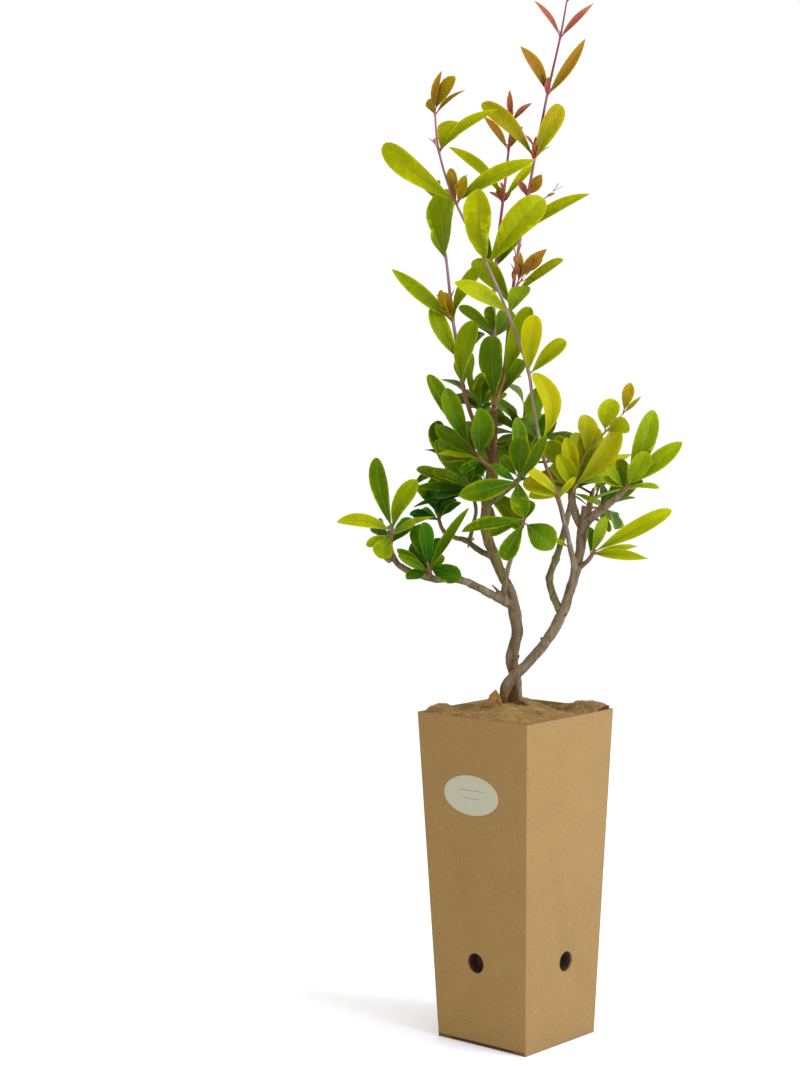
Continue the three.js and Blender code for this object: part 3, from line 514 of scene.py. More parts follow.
def tapered_block(name, low, high, inset, *materials):
    """A square block that widens upwards with the pot."""
    bottom = side_at(low) - 2 * inset
    size = (bottom, bottom, high - low)
    bpy.ops.mesh.primitive_cube_add(size=1, location=(0, 0, (low + high) / 2), scale=size)
    block = named(name, *materials)
    shape(block)
    select(block, "FACE", lambda face: face.normal.z > 0.9)
    wider = (side_at(high) - 2 * inset) / bottom
    bpy.ops.transform.resize(value=(wider, wider, 1), center_override=(0, 0, high))
    done()
    return block


def cut_vents(piece):
    """A round hole in the middle of each side, each a little off centre."""
    for side in range(4):
        turn = math.radians(90 * side)
        offset = VENT["shift"] if side % 2 else -VENT["shift"]
        place = Matrix.Rotation(turn, 3, "Z") @ Vector((side_at(VENT["height"]) / 2, offset, VENT["height"]))
        bpy.ops.mesh.primitive_cylinder_add(
            vertices=VENT["sides"], radius=VENT["radius"], depth=VENT["punch"],
            location=place, rotation=(0, math.pi / 2, turn),
        )
        punch = bpy.context.object
        modify(piece, "BOOLEAN", object=punch, operation="DIFFERENCE", solver="EXACT")
        bpy.data.objects.remove(punch)


def fold_pot():
    """The wall: one board folded round four corners; two sides fold under, and two end above that."""
    board = tapered_block("pot_board", 0, POT["height"], 0, kraft_board("kraft_board", srgb(139, 110, 65)),
                          kraft_board("kraft_cut_edge", srgb(122, 94, 58)))
    half = POT["bottom"] / 2

    def select_foot(axis, *places):
        """The edges on the ground whose ends lie at one of some places along an axis."""
        select(board, "EDGE", lambda edge: all(
            v.co.z < 1e-6 and min(abs(v.co[axis] - place) for place in places) < 1e-5 for v in edge.verts))

    shape(board)
    select(board, "FACE", lambda face: abs(face.normal.z) > 0.9)
    bpy.ops.mesh.delete(type="ONLY_FACE")
    select(board, "EDGE", lambda edge: abs(edge.verts[0].co.z - edge.verts[1].co.z) > POT["height"] / 2)
    bpy.ops.mesh.bevel(offset=FOLD["corner"], segments=3, affect="EDGES")
    for way in (-1, 1):
        select_foot(1, way * half)
        bpy.ops.mesh.extrude_region_move(TRANSFORM_OT_translate={"value": (0, -way * FOLD["flap"], 0)})
        select_foot(0, way * half)
        bpy.ops.transform.translate(value=(0, 0, SIDE_LIFT))
    select_foot(1, -half, half)
    bpy.ops.mesh.bevel(offset=FOLD["radius"], segments=3, affect="EDGES")
    done()
    modify(board, "SOLIDIFY", thickness=POT["board"], offset=-1, use_even_offset=True, material_offset_rim=1)
    cut_vents(board)
    modify(board, "BEVEL", width=0.00018, segments=2, limit_method="ANGLE", angle_limit=math.radians(60))
    smooth(board, 30)
    settle(board, "board", "pot_wall")


def lay_base_boards():
    """The thin boards of the base, one on the other, set in under the sides."""
    finish = kraft_board("base_board", srgb(96, 70, 42))
    layers = []
    for low, high, inset in BASE_BOARDS:
        layer = tapered_block("base_layer", low, high, inset, finish)
        shape(layer)
        bpy.ops.mesh.select_all(action="SELECT")
        narrower = 1 - 2 * (POT["board"] + BASE_PLAY) / side_at(0)
        bpy.ops.transform.resize(value=(1, narrower, 1), center_override=(0, 0, 0))
        done()
        modify(layer, "BEVEL", width=0.00015, segments=1, limit_method="ANGLE")
        layers.append(layer)
    pick(layers[0])
    layers[1].select_set(True)
    bpy.ops.object.join()
    boards = named("base_boards")
    settle(boards, "board", "pot_floor")


def on_label_side(x, z, out):
    """Where a point of the label lies: x across it, z up the slope from its centre, out from the board."""
    place = Vector((-out, -x, z))
    place.rotate(Matrix.Rotation(-TAPER, 3, "Y"))
    return place + Vector((-side_at(LABEL["centre"]) / 2, LABEL["offset"], LABEL["centre"]))


def stick_label():
    """The oval label: a thin domed disc of paper, bare but for two fine ruled lines."""
    bpy.ops.mesh.primitive_circle_add(vertices=72, radius=0.5, fill_type="NGON")
    oval = named("label_oval", label_paper())
    shape(oval)
    bpy.ops.mesh.select_all(action="SELECT")
    bpy.ops.mesh.inset(thickness=0.012)
    bpy.ops.mesh.inset(thickness=0.1)
    bpy.ops.transform.translate(value=(0, 0, LABEL["dome"] * LABEL["thickness"]))
    bpy.ops.mesh.select_all(action="SELECT")
    bpy.ops.transform.resize(value=(LABEL["width"], LABEL["height"], 1), center_override=(0, 0, 0))
    done()
    modify(oval, "SOLIDIFY", thickness=LABEL["thickness"], offset=1)
    for vertex in oval.data.vertices:
        x, z, out = vertex.co
        vertex.co = on_label_side(x, z, out + LABEL["gap"])
    smooth(oval, 40)
    settle(oval, "label", "label")
    rules = Heap()
    to_plant = PLANT.inverted()
    rise = RULE_RISE * LABEL["thickness"] + LABEL["gap"]
    for height, left, right in RULES:
        rules.skin([[tuple(to_plant @ on_label_side(x, height + z, rise + out)) for z, out in RULE_SECTION]
                    for x in np.linspace(left, right, 12)])
    settle(rules.mesh("label_rules", rule_ink()), "label", "label")


# ------------------------------------------------------------------ the fibre mat


def mound(x, y, mound_x, mound_y, radius):
    """How high a round mound is at a place, as a share of its height."""
    return math.exp(-((x - mound_x) ** 2 + (y - mound_y) ** 2) / radius**2)


def roughness(x, y, size, layer):
    return noise.noise((x / size, y / size, layer))


def mat_height(x, y):
    """The height of the mat's top at a place in the plant's frame, in millimetres."""
    height = MAT["rim"]
    for lump_x, lump_y, rise, radius in MAT_LUMPS:
        height += rise * mound(x, y, lump_x, lump_y, radius)
    height += 1.3 * roughness(x, y, 12, 0.5) + 0.5 * roughness(x, y, 4.6, 3.5)
    torn = sum(mound(x, y, *tear) for tear in MAT_TEARS)
    height += torn * (1.5 * roughness(x, y, 5, 2.5) + 1.1 * roughness(x, y, 2.1, 9.5))
    return height + 0.16 * roughness(x, y, 1.6, 7.5)


def lay_mat():
    """The mat: a fine lumpy pad that fills the rim, with ragged edges."""
    width = side_at(MAT["rim"] * MM) - 2 * MAT["clear"] * MM
    bpy.ops.mesh.primitive_grid_add(x_subdivisions=MAT["cells"], y_subdivisions=MAT["cells"], size=width)
    pad = named("coir_mat", coir("coir_pad", srgb(104, 71, 26), srgb(186, 149, 84), 70, 0.0004, flat=True))
    to_plant = PLANT.inverted()
    for vertex in pad.data.vertices:
        x, y, _ = to_plant @ vertex.co
        edge = width / 2 - max(abs(vertex.co.x), abs(vertex.co.y))
        near = max(0, 1 - edge / (RAGGED["width"] * MM))
        vertex.co.z = mat_height(x, y) * MM + RAGGED["height"] * MM * near * roughness(x, y, 2.2, 1.5)
    # Painted shade: an attribute that darkens the pad in its dips and crevices.
    painted_shade = pad.data.attributes.new("painted_shade", "FLOAT", "POINT")
    for vertex, value in zip(pad.data.vertices, painted_shade.data):
        x, y, _ = to_plant @ vertex.co
        value.value = min(1, sum(mound(x, y, *dark) for dark in MAT_PAINTED_SHADE))
    modify(pad, "SOLIDIFY", thickness=MAT["depth"] * MM, offset=-1)
    smooth(pad, 60)
    settle(pad, "fibre", "fibre_mat")


def raise_flap(number, flap):
    """A torn tongue of the mat that stands up beside the stems."""
    bpy.ops.mesh.primitive_grid_add(x_subdivisions=26, y_subdivisions=22, size=1)
    name = f"coir_flap_{number}"
    tongue = named(name, coir(name, flap["dark"], flap["light"], 260, 0.0006, lines=0.8))
    lean = Matrix.Rotation(math.pi / 2 + math.radians(flap["lean"]), 3, "X")
    turn = Matrix.Rotation(math.radians(flap["turn"]), 3, "Z")
    root = mat_height(flap["x"] + flap["width"] / 2, flap["y"]) - FLAP_FOOT
    for vertex in tongue.data.vertices:
        across, up = vertex.co.x + 0.5, vertex.co.y + 0.5
        side = across / flap["peak"] if across < flap["peak"] else (1 - across) / (1 - flap["peak"])
        peak = max(0, side) ** 0.6
        torn = 0.16 * noise.noise((across * 5, number, 0)) + 0.1 * noise.noise((across * 17, number, 4))
        height = (flap["height"] + FLAP_FOOT) * up * max(0.15, peak + torn)
        bulge = 1.6 * math.sin(math.pi * across) * up + 0.9 * noise.noise((across * 4, up * 4, number))
        place = lean @ Vector((flap["width"] * across, height, bulge))
        vertex.co = PLANT @ (turn @ place + Vector((flap["x"], flap["y"], root)))
    modify(tongue, "SOLIDIFY", thickness=FLAP_THICKNESS * MM, offset=0)
    smooth(tongue, 60)
    settle(tongue, "fibre", "fibre_mat")


def on_mat(x, y, half):
    """The nearest place on the mat to a place in the plant's frame."""
    turned = Matrix.Rotation(CROWN_TURN, 2) @ Vector((x, y))
    kept = Vector((max(-half, min(half, value)) for value in turned))
    return Matrix.Rotation(-CROWN_TURN, 2) @ kept


def strand(heap, start, turn, length, bend, radius, rise, half):
    """One loose fibre: a thin curved thread of three sides that lies on the mat and lifts between."""
    rings = []
    x, y = start
    for k in range(FIBRE_STEPS + 1):
        share = k / FIBRE_STEPS
        lift = radius + rise * math.sin(math.pi * share) + 0.3 * math.sin(9 * share + turn)
        x, y = on_mat(x, y, half)
        centre = np.array((x, y, mat_height(x, y) + lift))
        side = np.array((-math.sin(turn), math.cos(turn), 0))
        thin = radius * (1 - 0.6 * abs(2 * share - 1) ** 3)
        rings.append([tuple(centre + thin * (side * math.cos(a) + np.array((0, 0, 1)) * math.sin(a)))
                      for a in FIBRE_SECTION])
        x += math.cos(turn) * length / FIBRE_STEPS
        y += math.sin(turn) * length / FIBRE_STEPS
        turn += bend / FIBRE_STEPS
    heap.skin(rings)


def strew_fibres():
    """Thousands of loose fibres over the mat, thicker along its edges."""
    dice = random.Random(11)
    half_side = 500 * side_at(MAT["rim"] * MM)  # in millimetres
    half = half_side - MAT["clear"] - FIBRE_MARGIN
    back = Matrix.Rotation(-CROWN_TURN, 2)
    for name, kind in FIBRES.items():
        heap = Heap()
        for _ in range(kind["count"]):
            across, along = dice.uniform(-1, 1), dice.uniform(-1, 1)
            if dice.random() < AT_EDGE["share"]:
                along = math.copysign(dice.uniform(*AT_EDGE["within"]), along)
            if dice.random() < AT_EDGE["share"]:
                across = math.copysign(dice.uniform(*AT_EDGE["within"]), across)
            start = back @ Vector((across * half, along * half))
            length = dice.uniform(4, 15)
            inwards = math.atan2(-start.y, -start.x) + dice.uniform(-1.4, 1.4)
            bend, radius = dice.uniform(-2.4, 2.4), kind["radius"] * dice.uniform(0.7, 1.3)
            rise = dice.uniform(0, 0.12) * length * dice.random()
            strand(heap, start, inwards, length, bend, radius, rise, half)
        finish = coir(name.replace("fibres", "strand"), kind["dark"], kind["light"], 260, 0.0001)
        settle(heap.mesh(name, finish), "fibre", "fibre_mat")


# ------------------------------------------------------------------ the plant's tables
#
# A limb is a smooth line through a few points: x, y, z and the radius there.

GROUND = 232.3
LIMBS = {
    "leader": [
        (3, 6, GROUND, 6.6), (0, 5, 252, 5.6), (-2, 3.5, 276, 5.3), (0, 3, 296, 4.4),
        (-1, 4, 318, 4.2), (-14, 10, 348, 4.1), (-22, 12, 378, 3.9), (-17, 8, 407, 3.5),
        (-15, 5, 436, 2.9), (-15, 6, 460, 2.4), (-8, 10, 482, 1.9), (-3, 14, 530, 1.6),
        (4, 14, 580, 1.4), (14, 10, 634, 1.2), (24, 7, 684, 1.1), (33, 4, 723, 0.9), (38, 1, 750, 0.7),
    ],
    "rightStem": [
        (-11, -3, GROUND, 5.6), (-8, -3.5, 253, 4.9), (7, -6, 275, 4.4), (26, -12, 298, 4.1),
        (40, -12, 328, 4), (47, -6, 359, 3.7), (49, -3, 374, 3.6), (61, -10, 386, 2.9),
        (73, -17, 396, 2.4), (81, -22, 406, 1.8),
    ],
    "cutStub": [(49, -3, 374, 3), (50, -3, 388, 2.4)],
    "rightInner": [
        (49, -3, 371, 3.2), (43, 3, 384, 3), (41, 6, 394, 2.8), (43, 6, 404, 2.4), (50, 3, 424, 1.8),
        (64, -5, 441, 1.4), (78, -9, 456, 1),
    ],
    "innerStem": [
        (32, -13, 313, 2.8), (27, -2, 325, 2.7), (25, 8, 336, 2.6), (31, 15, 353, 2.5),
        (36, 21, 370, 2.3), (41, 28, 390, 2), (45, 34, 406, 1.6),
    ],
    "frontShoot": [
        (43, -10, 342, 2.2), (39, -16, 361, 1.9), (35, -18, 378, 1.8), (30, -17, 397, 1.8),
        (20, -16, 425, 1.7), (13, -19, 462, 1.6), (9, -23, 488, 1.5), (-5, -27, 527, 1.4),
        (-20, -29, 562, 1.3), (-42, -29, 606, 1.2), (-53, -28, 641, 1.1), (-56, -27, 674, 0.8),
    ],
    "rightLow": [(46, -8, 345, 1.9), (52, -13, 350, 1.7), (57, -16, 358, 1.4)],
    "leftLimb": [
        (-2, 3, 316, 3.4), (-18, -12, 326, 3.1), (-39, -30, 338, 2.7), (-58, -38, 339.5, 2.5),
        (-80, -42, 348, 2.3), (-88, -42, 361, 2), (-86, -42, 376, 1.6),
    ],
    "leftSpur": [(-60, -38, 340, 1.8), (-61, -41, 346, 1.5), (-61, -43, 352, 1.3)],
    "centreTwig": [
        (-2, 3, 314, 2.3), (-8, -5, 326, 2), (-6, -12, 340, 1.7), (-3, -20, 352, 1.6),
        (3, -36, 370, 1.4), (7, -46, 383, 1.2),
    ],
    "leftMid": [
        (-15, 11, 350, 2.5), (-27, 22, 355, 2.2), (-36, 32, 361, 2), (-46, 42, 363, 1.8),
        (-54, 49, 368, 1.6), (-58, 54, 380, 1.3),
    ],
    "leftMidTwig": [(-34, 30, 359, 1.6), (-31, 35, 372, 1.5), (-29, 38, 385, 1.4), (-34, 40, 402, 1.2)],
    "centreLeft": [(-16, 7, 415, 1.8), (-22, 0, 420, 1.6), (-28, -5, 426, 1.3)],
    "centreFront": [(-17, 8, 404, 2), (-9, -10, 402, 1.7), (0, -26, 405, 1.5), (4, -34, 413, 1.2)],
    "leftShoot": [
        (-15, 6, 417, 2), (-24, 16, 436, 1.9), (-32, 24, 454, 1.7), (-38, 28, 475, 1.6),
        (-43, 30, 509, 1.4), (-46, 30, 530, 1.3), (-50, 30, 568, 1.1), (-57, 31, 610, 0.8),
    ],
    "middleShoot": [
        (-15, 5, 452, 2), (-15, 20, 480, 1.7), (-15, 30, 512, 1.5), (-15, 35, 545, 1.4),
        (-12, 36, 580, 1.2), (-8, 36, 612, 1.1), (-4, 34, 647, 0.9), (-2, 32, 668, 0.7),
    ],
    "backLeft": [(-20, 12, 368, 2.6), (-17, 34, 380, 2.3), (-24, 54, 392, 2), (-32, 70, 410, 1.5)],
    "backRight": [(44, -9, 346, 2.6), (50, 14, 364, 2.3), (54, 38, 378, 2), (58, 58, 398, 1.5)],
    "backMiddle": [(-21, 12, 388, 2.4), (-4, 32, 400, 2.1), (12, 52, 416, 1.8), (16, 66, 438, 1.4)],
    "backTop": [(-15, 5, 430, 2), (-20, 26, 440, 1.7), (-26, 44, 450, 1.4), (-28, 56, 464, 1.1)],
}

TRUNK = {"leader": 92, "rightStem": 55}
# The bare stretch of each limb that carries foliage, from and to, in lengths along it.
BOUGHS = {
    "main_leader": ("leader", TRUNK["leader"], 236),
    "right_stem": ("rightStem", TRUNK["rightStem"], 168),
    "right_bough": ("rightStem", 168, 204),
    "cut_stub": ("cutStub", 0, 14),
    "right_inner_bough": ("rightInner", 0, 30),
    "inner_stem": ("innerStem", 0, 32),
    "inner_stem_top": ("innerStem", 32, 88),
    "front_bough": ("frontShoot", 0, 52),
    "left_limb": ("leftLimb", 0, 106),
    "centre_twig": ("centreTwig", 0, 80),
    "left_mid_bough": ("leftMid", 0, 56),
    "left_mid_twig": ("leftMidTwig", 0, 38),
    "back_left_bough": ("backLeft", 0, 38),
    "back_right_bough": ("backRight", 0, 46),
    "back_middle_bough": ("backMiddle", 0, 34),
    "back_top_bough": ("backTop", 0, 28),
}


def leaf_tint(slot, face, warm, rib, edge):
    """A leaf's look: its slot, the upper face, its warmer patches, the rib and the margin."""
    return {"slot": slot, "face": srgb(*face), "warm": srgb(*warm), "rib": srgb(*rib), "edge": srgb(*edge)}


# The dark and deep tints are the leaves' own darker green, deepened with painted shade for leaves in the
# crown's shaded back and inside.
TINTS = {
    "rose": leaf_tint("leaf_young", (138, 56, 58), (150, 82, 58), (132, 44, 56), (140, 44, 56)),
    "bronze": leaf_tint("leaf_young", (128, 104, 12), (140, 92, 26), (150, 68, 42), (158, 76, 36)),
    "flushed": leaf_tint("leaf_young", (122, 118, 2), (138, 122, 4), (130, 96, 26), (158, 96, 32)),
    "olive": leaf_tint("leaf_young", (122, 108, 3), (140, 116, 6), (144, 94, 30), (152, 92, 28)),
    "yellow": leaf_tint("leaf_yellow", (144, 144, 3), (160, 152, 8), (130, 130, 4), (170, 144, 22)),
    "lime": leaf_tint("leaf_lime", (127, 134, 1), (146, 148, 3), (98, 108, 2), (140, 134, 6)),
    "grass": leaf_tint("leaf_lime", (94, 113, 1), (118, 131, 1), (104, 122, 6), (110, 120, 2)),
    "green": leaf_tint("leaf_green", (53, 84, 1), (80, 102, 1), (72, 100, 6), (80, 98, 2)),
    "dark": leaf_tint("leaf_dark", (28, 68, 1), (50, 84, 1), (44, 82, 4), (50, 78, 2)),
    "deep": leaf_tint("leaf_dark", (10, 52, 1), (22, 63, 1), (26, 64, 4), (24, 54, 2)),
}
STALK_BROWN = srgb(124, 84, 40)
# The tints from dark to light. This share of a hidden mass's leaves is a step off its twig's tint.
SHADES = ("deep", "dark", "green", "grass", "lime", "yellow")
OFF_TINT = 0.3


def fan(count, turn, fore, length, width, tint=None, bend=0, face=None):
    """A few leaves spread evenly between two directions. `turn` is the direction across the crown,
    from 0 at the right to 90 upwards, and `fore` leans it towards the front, in degrees; a pair of
    values runs from the fan's first leaf to its last. `bend` bows the blades sideways, and `face`
    is the way they look, where that isn't to the light."""
    return {"count": count, "turn": turn, "fore": fore, "length": length, "width": width,
            "tint": tint, "bend": bend, "face": face}


def whorl(count, length):
    """Leaves set round the spray's own axis by the golden angle."""
    return {"count": count, "length": length, "tint": None, "bend": 0, "face": None}


def spray(height, tint, *fans, twig=None, buds=None):
    """The leaves of one node. `buds` adds a tuft of young leaves: tint, count and length."""
    return {"height": height, "tint": tint, "fans": fans, "twig": twig, "buds": buds}


def mass(limb, bare, reach, *sprays, fill=0, **hidden):
    """A limb's leafy end. `fill` is how many finer leaves each of its sprays gets besides."""
    return {"limb": limb, "bare": bare, "reach": reach, "sprays": sprays, "fill": fill, **hidden}


def twigs(count, twig, leaves, length):
    """A hidden side: short twigs at even steps along the stem, each with a whorl at its tip."""
    return {"count": count, "twig": twig, "leaves": leaves, "length": length}


# Many leaves that lean to the back get a darker tint than their spray's: painted shade, besides their own
# darker green.
MASSES = {
    "front_shoot": mass(
        "frontShoot", 52, 66,
        spray(358, "lime", fan(1, 151, 10, 18, 4.5)),
        spray(397, "yellow", fan(2, (134, 156), (28, 16), (36, 29), (11, 13)), fan(1, 57, 25, 24, 5)),
        spray(434, "yellow", fan(1, 93, 5, 50, 15, bend=0.21), fan(1, 128, -45, 36, 15, "green")),
        spray(484, "lime", fan(1, 87, 15, 45, 15, "yellow"), fan(1, 46, -5, 35, 13)),
        spray(527, "lime", fan(1, 148, 20, 48, 13, face=(-0.2, -1, 0.2)), fan(1, 60, -50, 36, 14, "grass")),
        spray(562, "lime", fan(2, (93, 49), (10, -8), (57, 60), (21, 22))),
        spray(606, "lime", fan(2, (138, 29), (5, 15), (61, 63), (17, 12)),
              fan(2, (97, 76), (-20, 25), (28, 22), 8, "olive"), buds=("bronze", 3, 12)),
        spray(641, "lime", fan(1, 66, -10, 27, 18), fan(1, 37, 15, 54, 9)),
        spray(667, "olive", fan(1, 54, 12, 31, 12), fan(1, 78, 5, 31, 6, "bronze"),
              fan(1, 42, -12, 28, 6, "bronze"), fan(1, 112, -35, 18, 7)),
    ),
    "top_shoot": mass(
        "leader", 236, 66,
        spray(465, "green", fan(1, 91, 10, 49, 20), fan(1, 75, -45, 40, 16)),
        spray(479, "grass", fan(1, 70, -5, 61, 16), fan(1, 118, -50, 38, 14, "green")),
        spray(532, "grass", fan(1, 45, 10, 53, 12, "lime"), fan(1, 124, -10, 46, 17)),
        spray(534, "bronze", fan(2, (46, 84), (10, -10), (29, 22), (9, 7)), twig=(72, 10, 20),
              buds=("rose", 6, 13)),
        spray(584, "lime", fan(1, 30, 10, 60, 11)),
        spray(610, "bronze", fan(1, 60, 0, 20, 9), fan(1, 115, -20, 17, 7, "rose")),
        spray(636, "flushed", fan(2, (132, 62), (5, -8), (53, 44), (14, 16)),
              fan(2, (97, 74), (25, 20), 15, 6, "rose"), buds=("rose", 3, 12)),
        spray(684, "bronze", fan(2, (118, 54), (-5, 8), (40, 50), (10.5, 8)),
              fan(1, 88, 20, 14, 6, "rose"), buds=("rose", 2, 8)),
        spray(723, "rose", fan(2, (127, 50), (5, -5), (34, 35), 5), buds=("rose", 2, 6)),
        spray(748, "rose", fan(3, (128, 54), (10, -10), (22, 20), 5), buds=("rose", 3, 9)),
    ),
    "middle_shoot": mass(
        "middleShoot", 0, 60,
        spray(512, "green", fan(2, (137, 100), (10, -10), (34, 25), 9),
              fan(2, (60, 120), -50, 38, 15)),
        spray(560, "green", fan(2, (118, 62), -25, (38, 36), 14)),
        spray(612, "lime", fan(2, (137, 51), (5, 0), (55, 34), (10, 7)),
              fan(3, (140, 60), -15, 13, 6, "rose"), buds=("rose", 3, 9)),
        spray(647, "bronze", fan(2, (126, 60), (5, -25), (30, 25), 9), buds=("rose", 2, 8)),
        spray(667, "rose", fan(3, (135, 46), (10, -10), (22, 23), 5), buds=("rose", 2, 8)),
    ),
    "left_shoot": mass(
        "leftShoot", 0, 62,
        spray(475, "grass", fan(1, 79, 10, 51, 18), fan(1, 100, -50, 34, 13)),
        spray(494, "grass", fan(1, 115, -5, 44, 14), fan(1, 50, -50, 36, 14, "green")),
        spray(523, "grass", fan(2, (142, 65), (5, -8), (58, 47), (11, 13)),
              fan(2, (113, 100), (20, 30), (27, 24), 8, "olive"), buds=("bronze", 2, 12)),
        spray(568, "grass", fan(1, 91, 8, 49, 24), fan(1, 100, -45, 36, 14)),
        spray(609, "olive", fan(2, (124, 90), (0, -30), (31, 22), (12, 9)), buds=("rose", 2, 10)),
    ),
    "left_tip": mass(
        "leftLimb", 106, 58,
        spray(376, "grass",
              fan(1, 102, -8, 54, 13, "green"), fan(1, 66, 14, 40, 14),
              fan(1, 165, 8, 41, 11, "lime", bend=0.05),
              fan(2, (205, 238), (15, 34), (20, 20), (7.5, 15)),
              fan(2, (34, 27), (32, 10), (26, 34), (9, 6)),
              fan(1, 262, 20, 14, 8, "green"),
              fan(3, (140, 50), (-50, -60), 30, 12, "dark")),
        fill=1,
    ),
    "left_spur": mass(
        "leftSpur", 0, 60,
        spray(351, "dark",
              fan(2, (119, 91), (-6, 10), (32, 34), (14, 13)),
              fan(1, -14, 26, 27, 15), fan(1, 204, 30, 19, 13),
              fan(1, 63, 18, 56, 8, "green"),
              fan(2, (147, 156), (5, 22), (28, 29), (8, 7), "green"),
              fan(1, 56, -10, 18, 9, "green"),
              fan(2, (75, 125), (-40, -48), 32, 12, "deep")),
        fill=1,
    ),
    "centre_low": mass(
        "centreTwig", 80, 54,
        spray(382, "green",
              fan(2, (183, 204), (10, -15), (47, 29), (11, 7)),
              fan(2, (239, 316), (5, 12), (30, 29), (13, 21)),
              fan(1, 75, -50, 26, 9, "dark")),
    ),
    "centre_front": mass(
        "centreFront", 0, 54,
        spray(412, "green",
              fan(2, (96, 84), (-5, 22), (43, 30), (13, 17)),
              fan(1, 42, -16, 46, 9),
              fan(1, -66, 12, 29, 14),
              fan(1, 190, 14, 43, 15),
              fan(1, 146, 22, 24, 8, "dark"),
              fan(1, 30, -40, 32, 12, "dark")),
        fill=1,
    ),
    "centre_left": mass(
        "centreLeft", 0, 76,
        spray(425, "green",
              fan(1, 90, 12, 38, 20, "green", face=(0.2, -1, 0.3)),
              fan(1, 59, 5, 25, 7),
              fan(1, 144, -5, 39, 12), fan(1, 169, 18, 31, 8, "grass"), fan(1, 158, -35, 30, 12, "dark"),
              fan(1, 205, 30, 20, 8, "dark")),
        spray(423, "green", fan(2, (117, 104), (-5, 10), (57, 44), (12, 14)), twig=(128, 5, 14)),
        fill=2,
    ),
    "right_tip": mass(
        "rightStem", 204, 58,
        spray(406, "lime",
              fan(1, 71, -14, 55, 16, "grass", face=(-0.25, -1, 0.1)),
              fan(1, 41, 12, 52, 13, "grass", face=(-0.25, -1, 0.3)),
              fan(1, 66, 30, 33, 17, "grass"),
              fan(1, -3, 12, 24, 5, "grass"),
              fan(1, 156, 22, 19, 8, "grass"), fan(1, 100, -14, 24, 10, "green"),
              fan(1, 86, -50, 30, 12, "green")),
        spray(401, "grass", fan(1, 128, 20, 24, 9)),
    ),
    "right_low": mass(
        "rightLow", 0, 66,
        spray(357, "lime",
              fan(1, 31, 8, 62, 12.5, bend=0.06),
              fan(2, (14, -1), (-12, 18), (33, 40), (6, 8)),
              fan(1, 75, -6, 31, 10, "grass"),
              fan(1, 98, -30, 24, 8, "green")),
    ),
    "right_inner": mass(
        "rightInner", 30, 58,
        spray(404, "yellow",
              fan(1, 54, 16, 54, 18, face=(0.5, -0.8, 0.6)), fan(1, 39, 10, 51, 9, face=(0.3, -0.8, 0.6)),
              fan(1, 73, -10, 50, 18, face=(0.3, -0.9, 0.3)), fan(1, 97, 12, 41, 12, face=(0.2, -0.9, 0.3)),
              fan(1, 122, 28, 34, 13, "lime", face=(0.1, -0.8, 0.6)),
              fan(1, -27, 18, 25, 7, "grass"), fan(1, 60, 45, 26, 8, "lime"),
              fan(1, 118, -35, 34, 12, "grass")),
        spray(425, "yellow", fan(2, (82, 25), (-28, -35), (32, 30), (15, 12))),
        spray(442, "lime", fan(2, (81, 16), (5, 10), (25, 19), (17, 14))),
        spray(455, "yellow", fan(2, (78, 47), (5, 15), (22, 20), (9, 3.5), "olive")),
    ),
    "right_back": mass(
        "innerStem", 88, 56,
        spray(405, "grass",
              fan(3, (128, 52), (-5, -28), (38, 42), 16),
              fan(2, (20, 165), (-30, -12), 34, 13),
              fan(3, (150, 30), (-50, -60), 38, 15, "green")),
        fill=3,
    ),
    "left_inner": mass(
        "leftMidTwig", 38, 54,
        spray(401, "dark",
              fan(1, 127, 5, 42, 17, "green"),
              fan(2, (158, 150), (-6, 12), (42, 36), (10, 9), "green"),
              fan(1, 174, 0, 41, 8), fan(1, 186, 16, 28, 12), fan(1, 194, 0, 45, 8, "deep"),
              fan(1, 100, -20, 36, 14, "green"),
              fan(2, (60, 140), -50, 36, 14)),
        spray(359, "grass", fan(1, -62, -22, 24, 10)),
        fill=1,
    ),
    "left_back": mass(
        "leftMid", 56, 52,
        spray(379, "dark",
              fan(1, 128, 0, 28, 7, "green"),
              fan(2, (102, 66), (10, -5), (24, 22), 9, "deep"),
              fan(1, 36, 8, 20, 8), fan(1, 165, 10, 24, 8, "deep"),
              fan(2, (170, 60), (-50, -60), 34, 13)),
        fill=1,
    ),
    "back_left": mass("backLeft", 38, 58, fill=3, tints=("dark", "green", "dark"), twigs=twigs(3, 16, 5, 40)),
    "back_right": mass("backRight", 46, 58, fill=3, tints=("grass", "green", "lime"),
                       twigs=twigs(3, 15, 5, 40)),
    "back_middle": mass("backMiddle", 34, 58, fill=3, tints=("green", "dark", "grass"),
                        twigs=twigs(3, 16, 5, 40)),
    "back_top": mass("backTop", 28, 54, fill=2, tints=("green", "grass"), twigs=twigs(2, 14, 5, 36)),
}

# ------------------------------------------------------------------ the growing rule, as the source has it

SPAN_STEPS = 12  # from one point of a limb to the next
FIRST_TWIG = 0.6  # where a hidden mass's first twig stands, in steps from one twig to the next
TWIG = {"radius": 0.8, "foot": 1.3, "lean": 0.6}
WHORL = {"spread": 72, "inner": 0.55, "width": 0.4}
LIGHT = {"up": 0.5, "front": 0.75, "outward": 0.25}
# Where the sky shows through the crown from the front: a place across it, a height and a radius.
# The far side's leaves keep out of these.
OPENINGS = (
    (45, 458, 16), (58, 476, 14), (91, 377, 11), (79, 359, 9), (52, 398, 7), (3, 461, 6),
    (-34, 380, 8), (104, 408, 10),
)
JITTER = {"turn": 4, "fore": 7, "length": 0.06, "face": 0.3}  # how far one try strays
LEAF = {"arch": 0.06, "sample": 3.8, "sunk": 1, "step": 1.1}
OUTLINE = ((0, 0.26, 0.66, 1), (0, 0.74, 1, 0))  # ways along a leaf, shares of its half width
